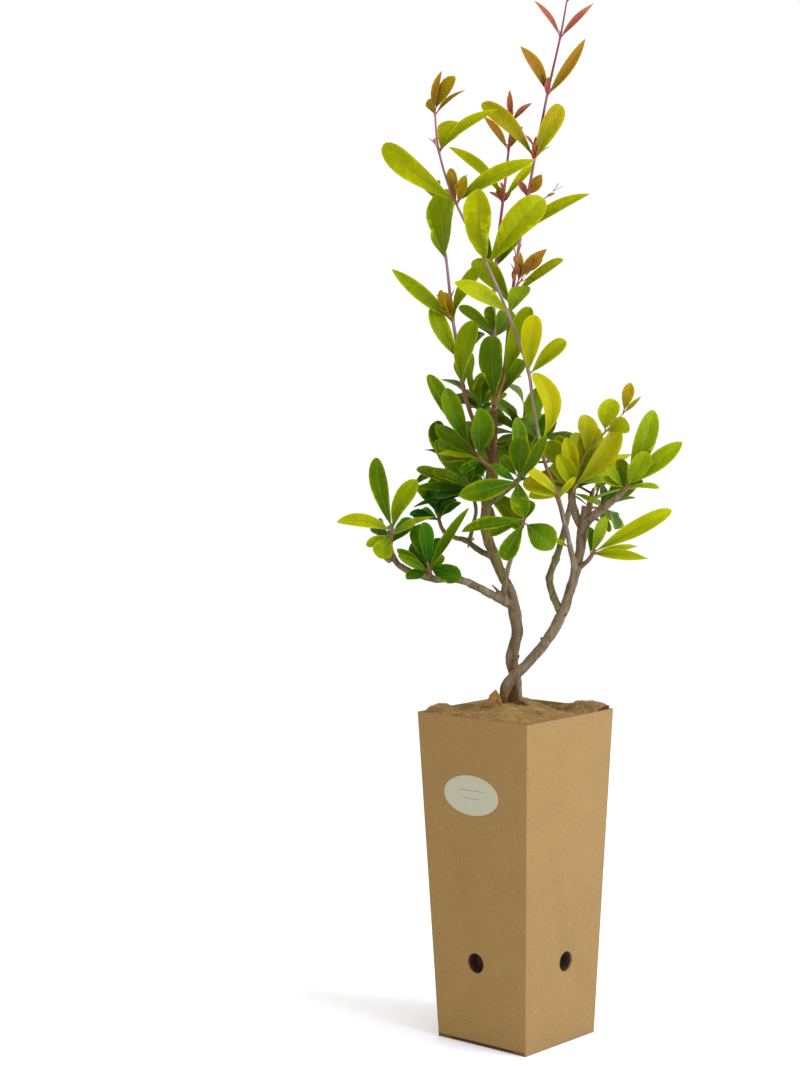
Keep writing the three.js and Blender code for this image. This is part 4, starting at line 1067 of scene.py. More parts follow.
# The room that a leaf needs to other leaves, those of its own mass and bark. It counts from "root" on
# along a leaf, and among leaves of one mass from "outer" on.
GAP = {"leaf": 2.8, "own": 2.4, "bark": 1.2, "root": 7, "outer": 15}
TRIES = 12
GOLDEN_ANGLE = math.radians(137.5)
CLEAR = 0.3  # between a bough and the mass on it
FAN_KEYS = ("turn", "fore", "length", "width")


def lerp(low, high, share):
    return (1 - share) * low + share * high


def unit(vector):
    length = math.sqrt(vector @ vector)
    return vector / length if length else vector


def heading(turn, fore):
    """A direction in the plant's frame, from degrees."""
    turn, fore = math.radians(turn), math.radians(fore)
    return np.array((math.cos(turn) * math.cos(fore), -math.sin(fore), math.sin(turn) * math.cos(fore)))


def turn_of(direction):
    return math.degrees(math.atan2(direction[2], direction[0]))


def fore_of(direction):
    return math.degrees(math.asin(max(-1, min(1, -direction[1]))))


def sideways(direction):
    """A unit vector at right angles to another, as near upright as can be."""
    up = np.array((0.0, 0.0, 1.0)) if abs(direction[2]) < 0.9 else np.array((0.0, 1.0, 0.0))
    return unit(up - direction * (up @ direction))


def spun(vector, axis, angle):
    """A vector turned about a unit axis."""
    across = np.cross(axis, vector)
    kept = axis * (axis @ vector) * (1 - math.cos(angle))
    return vector * math.cos(angle) + across * math.sin(angle) + kept


def seeded(seed):
    """The source's own even random numbers from 0 to 1, the same each time for one seed."""
    state = seed
    whole = 0xFFFFFFFF

    def draw():
        nonlocal state
        state = (state + 0x6D2B79F5) & whole
        mixed = ((state ^ (state >> 15)) * (1 | state)) & whole
        mixed = ((mixed + (((mixed ^ (mixed >> 7)) * (61 | mixed)) & whole)) & whole) ^ mixed
        return ((mixed ^ (mixed >> 14)) & whole) / 4294967296

    return draw


class Limb:
    """A smooth line through points, with a radius all along it."""

    def __init__(self, points):
        places = np.array([point[:3] for point in points], float)
        ends = (2 * places[0] - places[1], 2 * places[-1] - places[-2])
        places = np.vstack((ends[0], places, ends[1]))
        line = []
        radii = []
        for step in range(SPAN_STEPS * (len(points) - 1) + 1):
            span = min(step // SPAN_STEPS, len(points) - 2)
            t = step / SPAN_STEPS - span
            before, start, end, after = places[span : span + 4]
            leave, arrive = (end - before) / 2, (after - start) / 2
            bend = 2 * start - 2 * end + leave + arrive
            sweep = 3 * end - 3 * start - 2 * leave - arrive
            line.append(start + leave * t + sweep * t**2 + bend * t**3)
            radii.append(lerp(points[span][3], points[span + 1][3], t))
        self.points = np.array(line)
        self.radii = np.array(radii)
        steps = np.sqrt(((self.points[1:] - self.points[:-1]) ** 2).sum(1))
        self.lengths = np.concatenate(((0.0,), np.cumsum(steps)))
        self.length = self.lengths[-1]

    def at(self, length):
        """The centre, radius and direction at a length along the limb."""
        i = max(1, int(np.searchsorted(self.lengths, min(length, self.length))))
        low, high = self.lengths[i - 1], self.lengths[i]
        share = (length - low) / (high - low)
        point = lerp(self.points[i - 1], self.points[i], share)
        radius = lerp(self.radii[i - 1], self.radii[i], share)
        return point, radius, unit(self.points[i] - self.points[i - 1])

    def reaching(self, height):
        """The length at which the limb first reaches a height."""
        above = np.nonzero(self.points[:, 2] >= height)[0]
        return self.lengths[above[0]] if len(above) else self.length


class Leaf:
    """A leaf's chord, the way its face looks, its size and its tint."""

    def __init__(self, root, direction, face, length, width, tint, bend):
        self.root, self.direction = root, direction
        self.length, self.width, self.tint, self.bend = length, width, tint, bend
        self.normal = unit(face - direction * (face @ direction))
        self.side = np.cross(direction, self.normal)

    def centre(self, t):
        arch = 4 * LEAF["arch"] * self.length * t * (1 - t)
        return self.root + self.direction * self.length * t + self.normal * arch

    def samples(self):
        """Points spread over the leaf, past its root, and whether each is well away from the root."""
        points, outer = [], []
        rows = math.ceil(self.length / LEAF["sample"])
        for i in range(1, rows + 1):
            t = i / rows
            if t * self.length < GAP["root"]:
                continue
            half = self.width / 2 * float(np.interp(t, *OUTLINE))
            columns = math.ceil(half / LEAF["sample"])
            for k in range(-columns, columns + 1):
                points.append(self.centre(t) + self.side * (half * k / columns if columns else 0))
                outer.append(t * self.length >= GAP["outer"])
        return np.array(points), np.array(outer)


class Room:
    """Everything that a leaf has to stay clear of: points with a radius and an owner."""

    def __init__(self):
        self.owners = []
        self.points = np.empty((0, 3))
        self.radii = np.empty(0)
        self.outer = np.empty(0, bool)
        self.owner_numbers = np.empty(0, int)

    def number(self, owner):
        if owner not in self.owners:
            self.owners.append(owner)
        return self.owners.index(owner)

    def claim(self, owner, points, radii, outer):
        self.points = np.vstack((self.points, points))
        self.radii = np.concatenate((self.radii, radii))
        self.outer = np.concatenate((self.outer, outer))
        self.owner_numbers = np.concatenate((self.owner_numbers, np.full(len(points), self.number(owner))))

    def claim_stretch(self, owner, limb, start, end):
        steps = math.ceil((end - start) / LEAF["sample"])
        found = [limb.at(lerp(start, end, i / steps))[:2] for i in range(steps + 1)]
        points = np.array([point for point, _ in found])
        self.claim(owner, points, np.array([radius for _, radius in found]), np.zeros(len(found), bool))

    def free(self, owner, points, outer):
        same = self.owner_numbers == self.number(owner)
        other = self.radii + np.where(self.radii > 0, GAP["bark"], GAP["leaf"])
        both = outer[:, None] & self.outer[None, :]
        needed = np.where(same[None, :], np.where(both, GAP["own"], 0), other[None, :])
        apart = ((points[:, None, :] - self.points[None, :, :]) ** 2).sum(2)
        return bool((apart >= needed**2).all())


limbs = {name: Limb(points) for name, points in LIMBS.items()}
room = Room()


def in_reach(part, points):
    limb = limbs[part["limb"]]
    stem = limb.points[limb.lengths >= part["bare"]]
    apart = ((points[:, None, :] - stem[None, :, :]) ** 2).sum(2)
    return bool((apart.min(1) < part["reach"] ** 2).all())


def outside_openings(points):
    return all((np.hypot(points[:, 0] - x, points[:, 2] - z) > radius).all() for x, z, radius in OPENINGS)


def light_at(part, point):
    """The way to the light, which falls from above, the front and all round."""
    outward = unit(np.array((point[0], point[1], 0.0)))
    front = 0 if "twigs" in part else -LIGHT["front"]
    return np.array((0, front, LIGHT["up"])) + outward * LIGHT["outward"]


def try_leaf(name, part, draw, want, tries=TRIES):
    """The first of a few seeded places near the wanted one where the leaf has room, if there is one."""

    def shift():
        return draw() * 2 - 1

    for k in range(tries):
        looser = 1 + k
        turn = want["turn"] + JITTER["turn"] * looser * shift()
        fore = want["fore"] + JITTER["fore"] * looser * shift()
        length = want["length"] * (1 + JITTER["length"] * shift())
        lit = light_at(part, want["root"]) if want["face"] is None else np.array(want["face"])
        face = lit + np.array((shift(), shift(), shift())) * JITTER["face"]
        direction = heading(turn, fore)
        root = want["root"] - direction * LEAF["sunk"]
        leaf = Leaf(root, direction, face, length + LEAF["sunk"], want["width"], want["tint"], want["bend"])
        points, outer = leaf.samples()
        open_sky = "twigs" not in part or outside_openings(points)
        if open_sky and room.free(name, points, outer) and in_reach(part, points):
            room.claim(name, points, np.zeros(len(points)), outer)
            return leaf
    return None


def hidden_sprays(part, limb):
    """The sprays of a hidden mass: twigs at even steps along its stem and a whorl at each tip."""
    rule, sprays = part["twigs"], []
    for k in range(rule["count"]):
        at = lerp(part["bare"], limb.length, (k + FIRST_TWIG) / rule["count"])
        direction = limb.at(at)[2]
        away = spun(sideways(direction), direction, GOLDEN_ANGLE * k)
        way = unit(away + direction * TWIG["lean"])
        sprays.append({"at": at, "twig": (turn_of(way), fore_of(way), rule["twig"]), "buds": None,
                       "tint": part["tints"][k], "fans": [whorl(rule["leaves"], rule["length"])]})
    sprays.append({"at": limb.length, "twig": None, "buds": None, "tint": part["tints"][0],
                   "fans": [whorl(rule["leaves"] + 1, rule["length"])]})
    return sprays


def wanted(leaves, axis):
    """The leaves that a fan or a whorl asks for, without their roots."""
    found = []
    for k in range(leaves["count"]):
        if "turn" in leaves:
            share = k / (leaves["count"] - 1) if leaves["count"] > 1 else 0
            want = {key: lerp(*leaves[key], share) if isinstance(leaves[key], tuple) else leaves[key]
                    for key in FAN_KEYS}
        else:
            cone = math.radians(WHORL["spread"] * (1 if k % 2 else WHORL["inner"]))
            away = spun(sideways(axis), axis, GOLDEN_ANGLE * k)
            way = away * math.sin(cone) + axis * math.cos(cone)
            want = {"turn": turn_of(way), "fore": fore_of(way),
                    "length": leaves["length"], "width": leaves["length"] * WHORL["width"]}
        found.append({**want, "tint": leaves["tint"], "bend": leaves["bend"], "face": leaves["face"]})
    return found


def leaves_of(one):
    """All the leaves of a spray, their roots one after another down the wood from its end."""
    axis = one["line"].at(one["end"])[2]
    wants = [want for leaves in one["fans"] for want in wanted(leaves, axis)]
    for k, want in enumerate(wants):
        want["root"] = one["line"].at(one["end"] - LEAF["step"] * (k + 1))[0]
        want["tint"] = want["tint"] or one["tint"]
    return wants


def grow_crown():
    """Stems and twigs come first, so that every leaf keeps clear of them, and then the leaves."""
    room.claim_stretch("trunk", limbs["leader"], 0, TRUNK["leader"])
    room.claim_stretch("trunk", limbs["rightStem"], 0, TRUNK["rightStem"])
    for name, (limb, start, end) in BOUGHS.items():
        room.claim_stretch(name, limbs[limb], start, end)
    crown = []
    for number, (name, part) in enumerate(MASSES.items()):
        limb = limbs[part["limb"]]
        start = part["bare"] + CLEAR if part["bare"] else 0
        room.claim_stretch(name, limb, start, limb.length)
        sprays = []
        for one in part["sprays"] or hidden_sprays(part, limb):
            at = one["at"] if "at" in one else limb.reaching(one["height"])
            line, end = limb, at
            if one["twig"]:
                turn, fore, length = one["twig"]
                foot = limb.at(at)[0]
                tip = foot + heading(turn, fore) * length
                line = Limb([(*foot, TWIG["radius"] * TWIG["foot"]), (*tip, TWIG["radius"])])
                room.claim_stretch(name, line, 0, line.length)
                end = line.length
            sprays.append({**one, "at": at, "line": line, "end": end})
        crown.append({"name": name, "part": part, "limb": limb, "start": start, "sprays": sprays,
                      "draw": seeded(number + 1)})
    for grown in crown:
        wants = [want for one in grown["sprays"] for want in leaves_of(one)]
        tried = [try_leaf(grown["name"], grown["part"], grown["draw"], want) for want in wants]
        grown["leaves"] = [leaf for leaf in tried if leaf]
    return crown


# ------------------------------------------------------------------ finer growth

# Widths are shares of a leaf's length. A fine leaf's foot is that many leaf steps below its spray's
# end, and its turn so many golden angles on.
FINE = {"length": (17, 30), "width": 0.38, "tries": 5, "out": (0.5, 1), "along": (0.2, 0.9),
        "behind": (0, 0.9, 0.2), "turn": 3, "foot": 2.5}
BUD = {"spread": (12, 48), "width": 0.3, "stray": 0.4, "size": (0.6, 1.15), "face": 0.8, "foot": 0.4}


def fill_sprays(grown, dice):
    """Finer leaves between the large ones, behind those that face the front, where there is room."""
    for one in grown["sprays"]:
        axis = one["line"].at(one["end"])[2]
        for k in range(grown["part"]["fill"]):
            away = spun(sideways(axis), axis, GOLDEN_ANGLE * (k + FINE["turn"]))
            way = unit(away * dice.uniform(*FINE["out"]) + axis * dice.uniform(*FINE["along"]))
            if "twigs" not in grown["part"]:
                way = unit(way + np.array(FINE["behind"]))
            length = dice.uniform(*FINE["length"])
            root = one["line"].at(one["end"] - LEAF["step"] * (k + FINE["foot"]))[0]
            want = {"turn": turn_of(way), "fore": fore_of(way), "length": length, "tint": one["tint"],
                    "width": length * FINE["width"], "bend": 0, "face": None, "root": root}
            leaf = try_leaf(grown["name"], grown["part"], grown["draw"], want, FINE["tries"])
            if leaf:
                grown["leaves"].append(leaf)


def open_buds(grown, dice):
    """Tufts of small young leaves at the nodes of the shoots."""
    for one in grown["sprays"]:
        if not one["buds"]:
            continue
        tint, count, length = one["buds"]
        point, radius, axis = one["line"].at(one["end"])
        for k in range(count):
            cone = math.radians(dice.uniform(*BUD["spread"]))
            stray = dice.uniform(-BUD["stray"], BUD["stray"])
            away = spun(sideways(axis), axis, GOLDEN_ANGLE * k + stray)
            way = away * math.sin(cone) + axis * math.cos(cone)
            size = length * dice.uniform(*BUD["size"])
            foot = point + away * radius * BUD["foot"]
            leaf = Leaf(foot, way, axis - away * BUD["face"], size, size * BUD["width"], tint, 0)
            grown["leaves"].append(leaf)


# Shootlets, a young twig in a leaf's axil each: mass, height of the node, turn and fore, length,
# pairs of leaves, length of a leaf and tint.
SHOOTLETS = [
    ("top_shoot", 592, (44, 14), 31, 2, 8, "rose"),
    ("top_shoot", 534, (84, 14), 34, 3, 10, "rose"),
    ("top_shoot", 540, (52, 12), 16, 1, 15, "bronze"),
    ("top_shoot", 610, (66, 8), 7, 1, 10, "bronze"),
    ("top_shoot", 636, (96, 24), 7, 1, 11, "rose"),
    ("top_shoot", 684, (90, 10), 5, 1, 9, "bronze"),
    ("middle_shoot", 612, (92, 20), 6, 1, 10, "rose"),
    ("middle_shoot", 560, (70, 10), 9, 1, 9, "bronze"),
    ("left_shoot", 523, (106, 24), 8, 1, 16, "bronze"),
    ("front_shoot", 606, (84, 12), 7, 1, 13, "bronze"),
    ("front_shoot", 641, (120, 10), 5, 1, 7, "rose"),
]
# A shootlet's radius at its foot, half way (as a share of that) and tip, and how its leaves stand.
SHOOTLET = {"foot": 0.6, "middle": 0.8, "tip": 0.3, "bow": 0.12, "bare": 0.25, "stray": 0.4,
            "cone": 34, "spread": (0.6, 1.3), "closing": 0.5, "size": (0.75, 1.2), "width": 0.26}


def grow_shootlets(crown, dice):
    """Adds each shootlet's leaves to its mass, and returns the thin stems."""
    stems = []
    for name, height, (turn, fore), length, pairs, size, tint in SHOOTLETS:
        grown = next(one for one in crown if one["name"] == name)
        foot = grown["limb"].at(grown["limb"].reaching(height))[0]
        way = heading(turn, fore)
        bend = sideways(way) * dice.uniform(-SHOOTLET["bow"], SHOOTLET["bow"]) * length
        middle = foot + way * length * 0.5 + bend
        line = Limb([(*foot, SHOOTLET["foot"]), (*middle, SHOOTLET["foot"] * SHOOTLET["middle"]),
                     (*(foot + way * length), SHOOTLET["tip"])])
        stems.append((name, line))
        for k in range(pairs + 1):
            share = SHOOTLET["bare"] + (1 - SHOOTLET["bare"]) * (k + 1) / (pairs + 1)
            point, _, axis = line.at(line.length * share)
            for half_turn in (0, math.pi):
                stray = dice.uniform(-SHOOTLET["stray"], SHOOTLET["stray"])
                away = spun(sideways(axis), axis, half_turn + k * math.pi / 2 + stray)
                closed = 1 - SHOOTLET["closing"] * k / (pairs + 1)
                cone = math.radians(SHOOTLET["cone"] * dice.uniform(*SHOOTLET["spread"]) * closed)
                out = away * math.sin(cone) + axis * math.cos(cone)
                long = size * dice.uniform(*SHOOTLET["size"])
                grown["leaves"].append(Leaf(point, out, axis - away, long, long * SHOOTLET["width"], tint, 0))
    return stems


# ------------------------------------------------------------------ leaves in mesh

BLADE_ROWS = ((18, 6), (32, 9), (99, 13))  # up to a leaf's length, how many rows of faces
BASE_TAPER = 0.95
STALK = 3.6  # the length of a leaf's stalk, a little of which is inside the wood
LONGEST_STALK = 0.22  # as a share of the leaf's length
RIB = 0.26
FULL_TURN = 6.3  # about a whole turn, in radians
POINTED = ("rose", "bronze")
POINTED_BELOW = 0.192  # other leaves are pointed too where their width is a smaller share of their length
NARROW_BELOW = 0.24  # a leaf narrower than this is folded deeper
POINTED_BLADE = {"skew": (0.9, 1.15), "fullness": (0.8, 1.05), "waving": 0.5}
BLUNT_BLADE = {"skew": (1.3, 1.8), "fullness": (0.42, 0.7), "waving": 1}
FOLDS = {"narrow": (0.35, 0.65), "wide": (0.16, 0.42)}
# What else each blade draws for itself, from and to.
BLADE = {
    "bulge": (0.05, 0.12), "wave": (0.05, 0.2), "waves": (0.7, 1.7), "phase": (0, FULL_TURN),
    "droop": (-0.03, 0.1), "bow": (-0.045, 0.045), "twist": (-0.45, 0.45),
}


def blade_width(share, skew, fullness):
    """A blade's half width, as a share of its widest, at a share of its length: its sides run
    nearly straight from the stalk, and its tip is rounder the smaller its fullness."""
    widest = (BASE_TAPER / (BASE_TAPER + skew * fullness)) ** (1 / skew)
    most = widest**BASE_TAPER * (1 - widest**skew) ** fullness
    return share**BASE_TAPER * (1 - share**skew) ** fullness / most


def add_leaf(heap, leaf, dice):
    """A stalk and a folded, wavy blade: two halves above, with the rib between, and a keeled back."""
    narrowness = leaf.width / leaf.length
    look = POINTED_BLADE if leaf.tint in POINTED or narrowness < POINTED_BELOW else BLUNT_BLADE
    half = leaf.width / 2
    skew = dice.uniform(*look["skew"])
    fullness = dice.uniform(*look["fullness"])
    fold = dice.uniform(*FOLDS["narrow" if narrowness < NARROW_BELOW else "wide"])
    bulge = dice.uniform(*BLADE["bulge"])
    wave = dice.uniform(*BLADE["wave"]) * look["waving"]
    waves = dice.uniform(*BLADE["waves"])
    phases = (dice.uniform(*BLADE["phase"]), dice.uniform(*BLADE["phase"]))
    droop = dice.uniform(*BLADE["droop"])
    bow = leaf.bend + dice.uniform(*BLADE["bow"])
    twist = dice.uniform(*BLADE["twist"])
    stalk = min(STALK / leaf.length, LONGEST_STALK)
    rows = next(count for length, count in BLADE_ROWS if leaf.length < length)
    shares = [0.5 - 0.5 * math.cos(math.pi * k / rows) for k in range(rows)]
    stations = [(0, 0)] + [(stalk + (1 - stalk) * share, share) for share in shares]
    stem = min(0.55, 0.05 * leaf.width + 0.25)  # half the stalk's thickness
    rings, uvs = [], []

    def spine(t):
        out = 4 * bow * t * (1 - t) * leaf.length
        return leaf.centre(t) + leaf.side * out - leaf.normal * droop * leaf.length * t * t

    for t, share in stations:
        turn = twist * t
        side = leaf.side * math.cos(turn) + leaf.normal * math.sin(turn)
        normal = leaf.normal * math.cos(turn) - leaf.side * math.sin(turn)
        wide = max(half * blade_width(share, skew, fullness), stem * (1 - 0.4 * t))
        rib = min(RIB * (1.25 - share), 0.45 * wide)
        ripples = [wave * half * math.sin(waves * FULL_TURN * share + phase) * math.sin(math.pi * share)
                   for phase in phases]
        keel = stem * 1.1 * (1 - 0.75 * share)
        lift = fold * wide
        plan = [
            (wide, lift + ripples[0]), (0, -keel), (-wide, lift + ripples[1]),
            (-0.55 * wide, 0.5 * lift + bulge * wide + 0.4 * ripples[1]), (-rib, 0),
            (rib, 0), (0.55 * wide, 0.5 * lift + bulge * wide + 0.4 * ripples[0]),
        ]
        centre = spine(t)
        rings.append([tuple(centre + side * x + normal * y) for x, y in plan])
        uvs.extend((u, share) for u in (1, 0.5, 0, 0.225, 0.48, 0.52, 0.775))
    rings.append([tuple(spine(1))])
    uvs.append((0.5, 1))

    def part(row, side):
        """A face's material: the upper face, the rib, the back, or the stalk in the first row."""
        return 3 if row == 0 else (2, 2, 0, 0, 1, 0, 0)[side]

    heap.skin(rings, part, uvs)


def hang_leaves(crown):
    """Joins the leaves of each tint into one piece, which stands for the masses it has leaves in."""
    dice = random.Random(5)
    heaps = {tint: Heap() for tint in TINTS}
    nodes = {tint: set() for tint in TINTS}
    for grown in crown:
        for leaf in grown["leaves"]:
            tint = leaf.tint
            if "twigs" in grown["part"] and dice.random() < OFF_TINT:
                tint = SHADES[SHADES.index(tint) + (1 if tint in ("deep", "dark") else -1)]
            add_leaf(heaps[tint], leaf, dice)
            nodes[tint].add(grown["name"] + "_foliage")
    for tint, heap in heaps.items():
        look = TINTS[tint]
        piece = heap.mesh(
            "leaves_" + tint,
            leaf_face(tint + "_leaf", look["face"], look["warm"], toned(look["rib"], 0.8), look["edge"]),
            leaf_rib(tint + "_rib", look["rib"]),
            leaf_back(tint + "_back", toned(look["warm"], 0.9)),
            leaf_rib(tint + "_stalk", look["rib"] if look["slot"] == "leaf_young" else STALK_BROWN),
        )
        settle(piece, look["slot"], *sorted(nodes[tint]))


# ------------------------------------------------------------------ wood in mesh

SHOOT_TONES = {
    "brown": srgb(112, 76, 34), "tan": srgb(124, 106, 76), "mauve": srgb(138, 104, 96),
    "rose": srgb(146, 84, 88), "crimson": srgb(130, 58, 62), "sprout": srgb(142, 132, 38),
}
# Upwards from a height, the tone of a mass's stems.
SHOOT_BANDS = {"front_shoot": [(0, "brown"), (436, "tan"), (535, "mauve"), (600, "rose")],
               "middle_shoot": [(0, "brown"), (500, "mauve"), (590, "crimson")],
               "right_inner": [(0, "brown"), (408, "sprout")],
               "top_shoot": [(0, "brown"), (528, "mauve"), (600, "rose"), (690, "crimson")]}
PLAIN_BANDS = [(0, "brown"), (505, "mauve"), (590, "rose")]
NODE = {"swell": 0.3, "width": 1.5}
# Shares of its limb's radius that a mass's stem has, and how far along it the limb narrows to that.
SLIM = {"front_shoot": 0.78, "top_shoot": 0.84, "right_inner": 0.5, "right_tip": 0.8}
PLAIN_SLIM = 0.95
SLIMMING = 12
# How far a shoot reaches into its bough, and where one starts that has none.
SHOOT_FOOT = {"sunk": 1.2, "bare": 0.5}
BAND_OVERLAP = 0.3


def slimmed(limb, start, share):
    """A limb that narrows from a length on to a share of its radius."""
    thin = copy.copy(limb)
    thin.radii = limb.radii * np.interp(limb.lengths, (start, start + SLIMMING), (1, share))
    return thin


def tube(heap, limb, start, end, sides, step, swell=(), rough=0, tip=False, grow=0):
    """The wood of a limb between two lengths, swollen at its nodes; its tip may close to a bud."""
    side = None
    rings = []
    count = max(2, math.ceil((end - start) / step))
    for k in range(count + 1):
        length = lerp(start, end, k / count)
        point, radius, direction = limb.at(length)
        side = sideways(direction) if side is None else unit(side - direction * (side @ direction))
        across = np.cross(direction, side)
        bump = sum(math.exp(-(((length - at) / NODE["width"]) ** 2)) for at in swell)
        radius = (radius + grow) * (1 + NODE["swell"] * min(1, bump))
        if tip:
            radius *= max(0.3, min(1, (end - length) / 4))
        ring = []
        for corner in range(sides):
            angle = 2 * math.pi * corner / sides
            out = side * math.cos(angle) + across * math.sin(angle)
            where = point + out * radius
            ring.append(tuple(where + out * rough * noise.noise(Vector(where) / 6) * radius))
        rings.append(ring)
    if tip:
        rings.append([tuple(limb.at(end)[0] + limb.at(end)[2] * 0.8)])
    heap.skin(rings)


def grow_shoots(crown, shootlets):
    """The thin stems and twigs inside the masses, toned in bands from the ground up."""
    heaps = {tone: Heap() for tone in SHOOT_TONES}
    nodes = {tone: set() for tone in SHOOT_TONES}

    def band_tone(name, height):
        return [tone for low, tone in SHOOT_BANDS.get(name, PLAIN_BANDS) if height >= low][-1]

    def put(tone, name, line, start, end, **settings):
        tube(heaps[tone], line, start, end, rough=0.05, **settings)
        nodes[tone].add(name + "_foliage")

    for grown in crown:
        name = grown["name"]
        limb = slimmed(grown["limb"], grown["start"], SLIM.get(name, PLAIN_SLIM))
        swell = [one["at"] for one in grown["sprays"]]
        foot = grown["start"] - SHOOT_FOOT["sunk"] if grown["part"]["bare"] else SHOOT_FOOT["bare"]
        lowest, highest = limb.at(foot)[0][2], limb.points[-1][2]
        changes = [low for low, _ in SHOOT_BANDS.get(name, PLAIN_BANDS) if lowest < low < highest]
        cuts = [foot, *(limb.reaching(low) for low in changes), limb.length]
        for start, end in zip(cuts, cuts[1:]):
            last = end == limb.length
            tone = band_tone(name, limb.at(lerp(start, end, 0.5))[0][2])
            put(tone, name, limb, start, end + (0 if last else BAND_OVERLAP),
                sides=9, step=2.2, swell=swell, tip=last)
        for one in grown["sprays"]:
            if one["twig"]:
                line, end = one["line"], one["end"]
                put(band_tone(name, line.at(0)[0][2]), name, line, 0, end,
                    sides=7, step=2.5, swell=[end - 2], tip=True)
    for name, line in shootlets:
        put("crimson", name, line, 0, line.length, sides=6, step=2.5, tip=True)
    for tone, heap in heaps.items():
        skin = shoot_skin("shoot_skin_" + tone, SHOOT_TONES[tone])
        settle(heap.mesh("shoots_" + tone, skin), "bark", *sorted(nodes[tone]))


# Knots, where a twig fell: limb, height, degrees round the limb from the front, and size.
KNOTS = [
    ("leader", 302, 78, 1.0), ("leader", 278, 60, 0.9), ("rightStem", 266, -60, 1.1),
    ("rightStem", 290, -72, 0.9), ("rightStem", 312, 50, 0.9), ("leader", 329, -20, 0.9),
    ("leader", 340, 70, 0.8), ("rightStem", 345, 30, 0.9), ("leader", 362, -60, 0.9),
    ("leader", 391, 40, 0.9), ("leader", 318, 190, 1.0), ("leader", 352, 150, 0.9),
    ("rightStem", 300, 170, 1.0), ("rightStem", 336, 200, 0.9), ("leftLimb", 332, 10, 0.8),
    ("leftLimb", 339, 30, 0.8), ("leftLimb", 344, 160, 0.8), ("leader", 423, -30, 0.8),
    ("rightStem", 379, 10, 0.8), ("innerStem", 330, -50, 0.8), ("innerStem", 352, 120, 0.7),
]
# Short dead ends of old twigs: foot and tip, with the radius at each.
STUBS = [
    [(-8, -3, 323, 1.4), (-12.5, -6, 327.5, 1.0), (-17, -8.5, 332.5, 0.7)],
    [(-88, -42, 352, 1.9), (-92.5, -43.5, 355.5, 1.5)],
    [(56, -7, 381, 1.5), (60, -2, 378, 0.9)],
    [(-38, -29, 337, 1.5), (-40, -31, 342, 1.0)],
]
# The two stems again as the bark shows them, with their knees, waists and separate feet.
BARK = {
    "leader": [
        (2.6, 3.6, GROUND, 3.2), (2.3, 3.4, 245, 2.6), (2.2, 3.5, 250.5, 2.5), (1.9, 3.5, 256, 2.8),
        (1, 3.5, 261, 3.3), (-0.9, 3.5, 266.5, 4), (-2.2, 3.5, 272, 4.4), (-2.6, 3, 278.3, 4.8),
        (-1.4, 3, 285, 4.2), (0.7, 3, 291.5, 4), (1.4, 3, 298, 4.1), (0.7, 3, 304.6, 4.4),
        (-0.3, 3.5, 311, 4.5), (-1.5, 4.2, 317.7, 4.1), (-2.6, 5, 324, 3.7), (-5.6, 6.5, 330.6, 3.5),
        (-9.5, 8, 337, 3.6), (-12.2, 9.2, 343.5, 3.8), (-14.6, 10.2, 350, 3.8), (-19.6, 11.5, 363, 3.8),
        (-22, 12, 378, 3.8), (-17, 8, 407, 3.2), (-15, 5, 436, 2.5), (-15, 6, 455, 2.1),
    ],
    "rightStem": [
        (-9.6, -4.6, GROUND, 3.8), (-9.3, -5, 243.5, 3.3), (-8.6, -5.2, 247, 3.2), (-8.1, -5.6, 251.8, 3.6),
        (-7.2, -6, 255.8, 4), (-5.6, -6.5, 260, 4.1), (-2.7, -6.8, 264, 4.1), (1, -7.2, 267.8, 4),
        (6.2, -8, 272.5, 3.8), (12.1, -9, 279.2, 3.7), (18.3, -10, 286.5, 3.7), (23.1, -11, 293.2, 3.8),
        (27.4, -12, 299.8, 3.8), (30.8, -12, 306.3, 3.9), (34.1, -12, 312.8, 3.9), (36.4, -12, 319.3, 3.6),
        (38.4, -11.5, 325.7, 3.6), (40.5, -11, 332, 3.5), (42.4, -9.5, 338.5, 3.6), (43.8, -8, 345, 3.9),
        (47, -6, 359, 3.6), (49, -3, 374, 3.6), (61, -10, 386, 2.9), (73, -17, 396, 2.4),
        (81, -22, 405.5, 1.9),
    ],
}


# Stems that grow out of a bough of another name get a collar of bark at their foot.
COLLARS = ("leftShoot", "middleShoot", "centreLeft", "centreFront", "leftSpur", "rightLow")
# Each knot's rim and dark heart as rings: a radius for a knot of size 1, and a height on the bark.
KNOT_RIM = ((1.1, -1), (1.1, -0.15), (0.8, 0.12), (0.55, 0))
KNOT_HEART = ((0.6, -0.5), (0.56, 0.06))
KNOT_TOP = 0.12
# A dark tube between the stems' feet: painted shade in the hollow there.
SHADE_PLUG = [(-3.4, 0.5, 238, 4.6), (-3.2, 0.5, 249, 4.2), (-2.4, 0, 260, 3)]  # between the stems' feet
# Where the bark's tone changes: from and to, in height, across the crown and in depth.
OLIVE_FROM = {"height": (318, 340), "left": (-2, 6), "depth": (-12, 0)}
TWIG_FROM = (384, 424)
PEELED_BELOW = {"height": (268, 256), "left": (-1, 5)}


def around(limb, height, degrees):
    """A place on a limb's bark, by height and degrees round it from the front, and the way out."""
    point, radius, direction = limb.at(limb.reaching(height))
    front = np.array((0.0, -1.0, 0.0))
    front = unit(front - direction * (front @ direction))
    out = spun(front, direction, math.radians(degrees))
    return point + out * radius, out


def one_skin(heap, name, finish, voxel, coarse, fine):
    """A heap of tubes that run into one another as one smoothed and wrinkled skin."""
    skin = heap.mesh(name, finish)
    modify(skin, "REMESH", mode="VOXEL", voxel_size=voxel * MM)
    modify(skin, "SMOOTH", factor=0.5, iterations=3)
    wrinkle(skin, coarse, fine)
    return skin


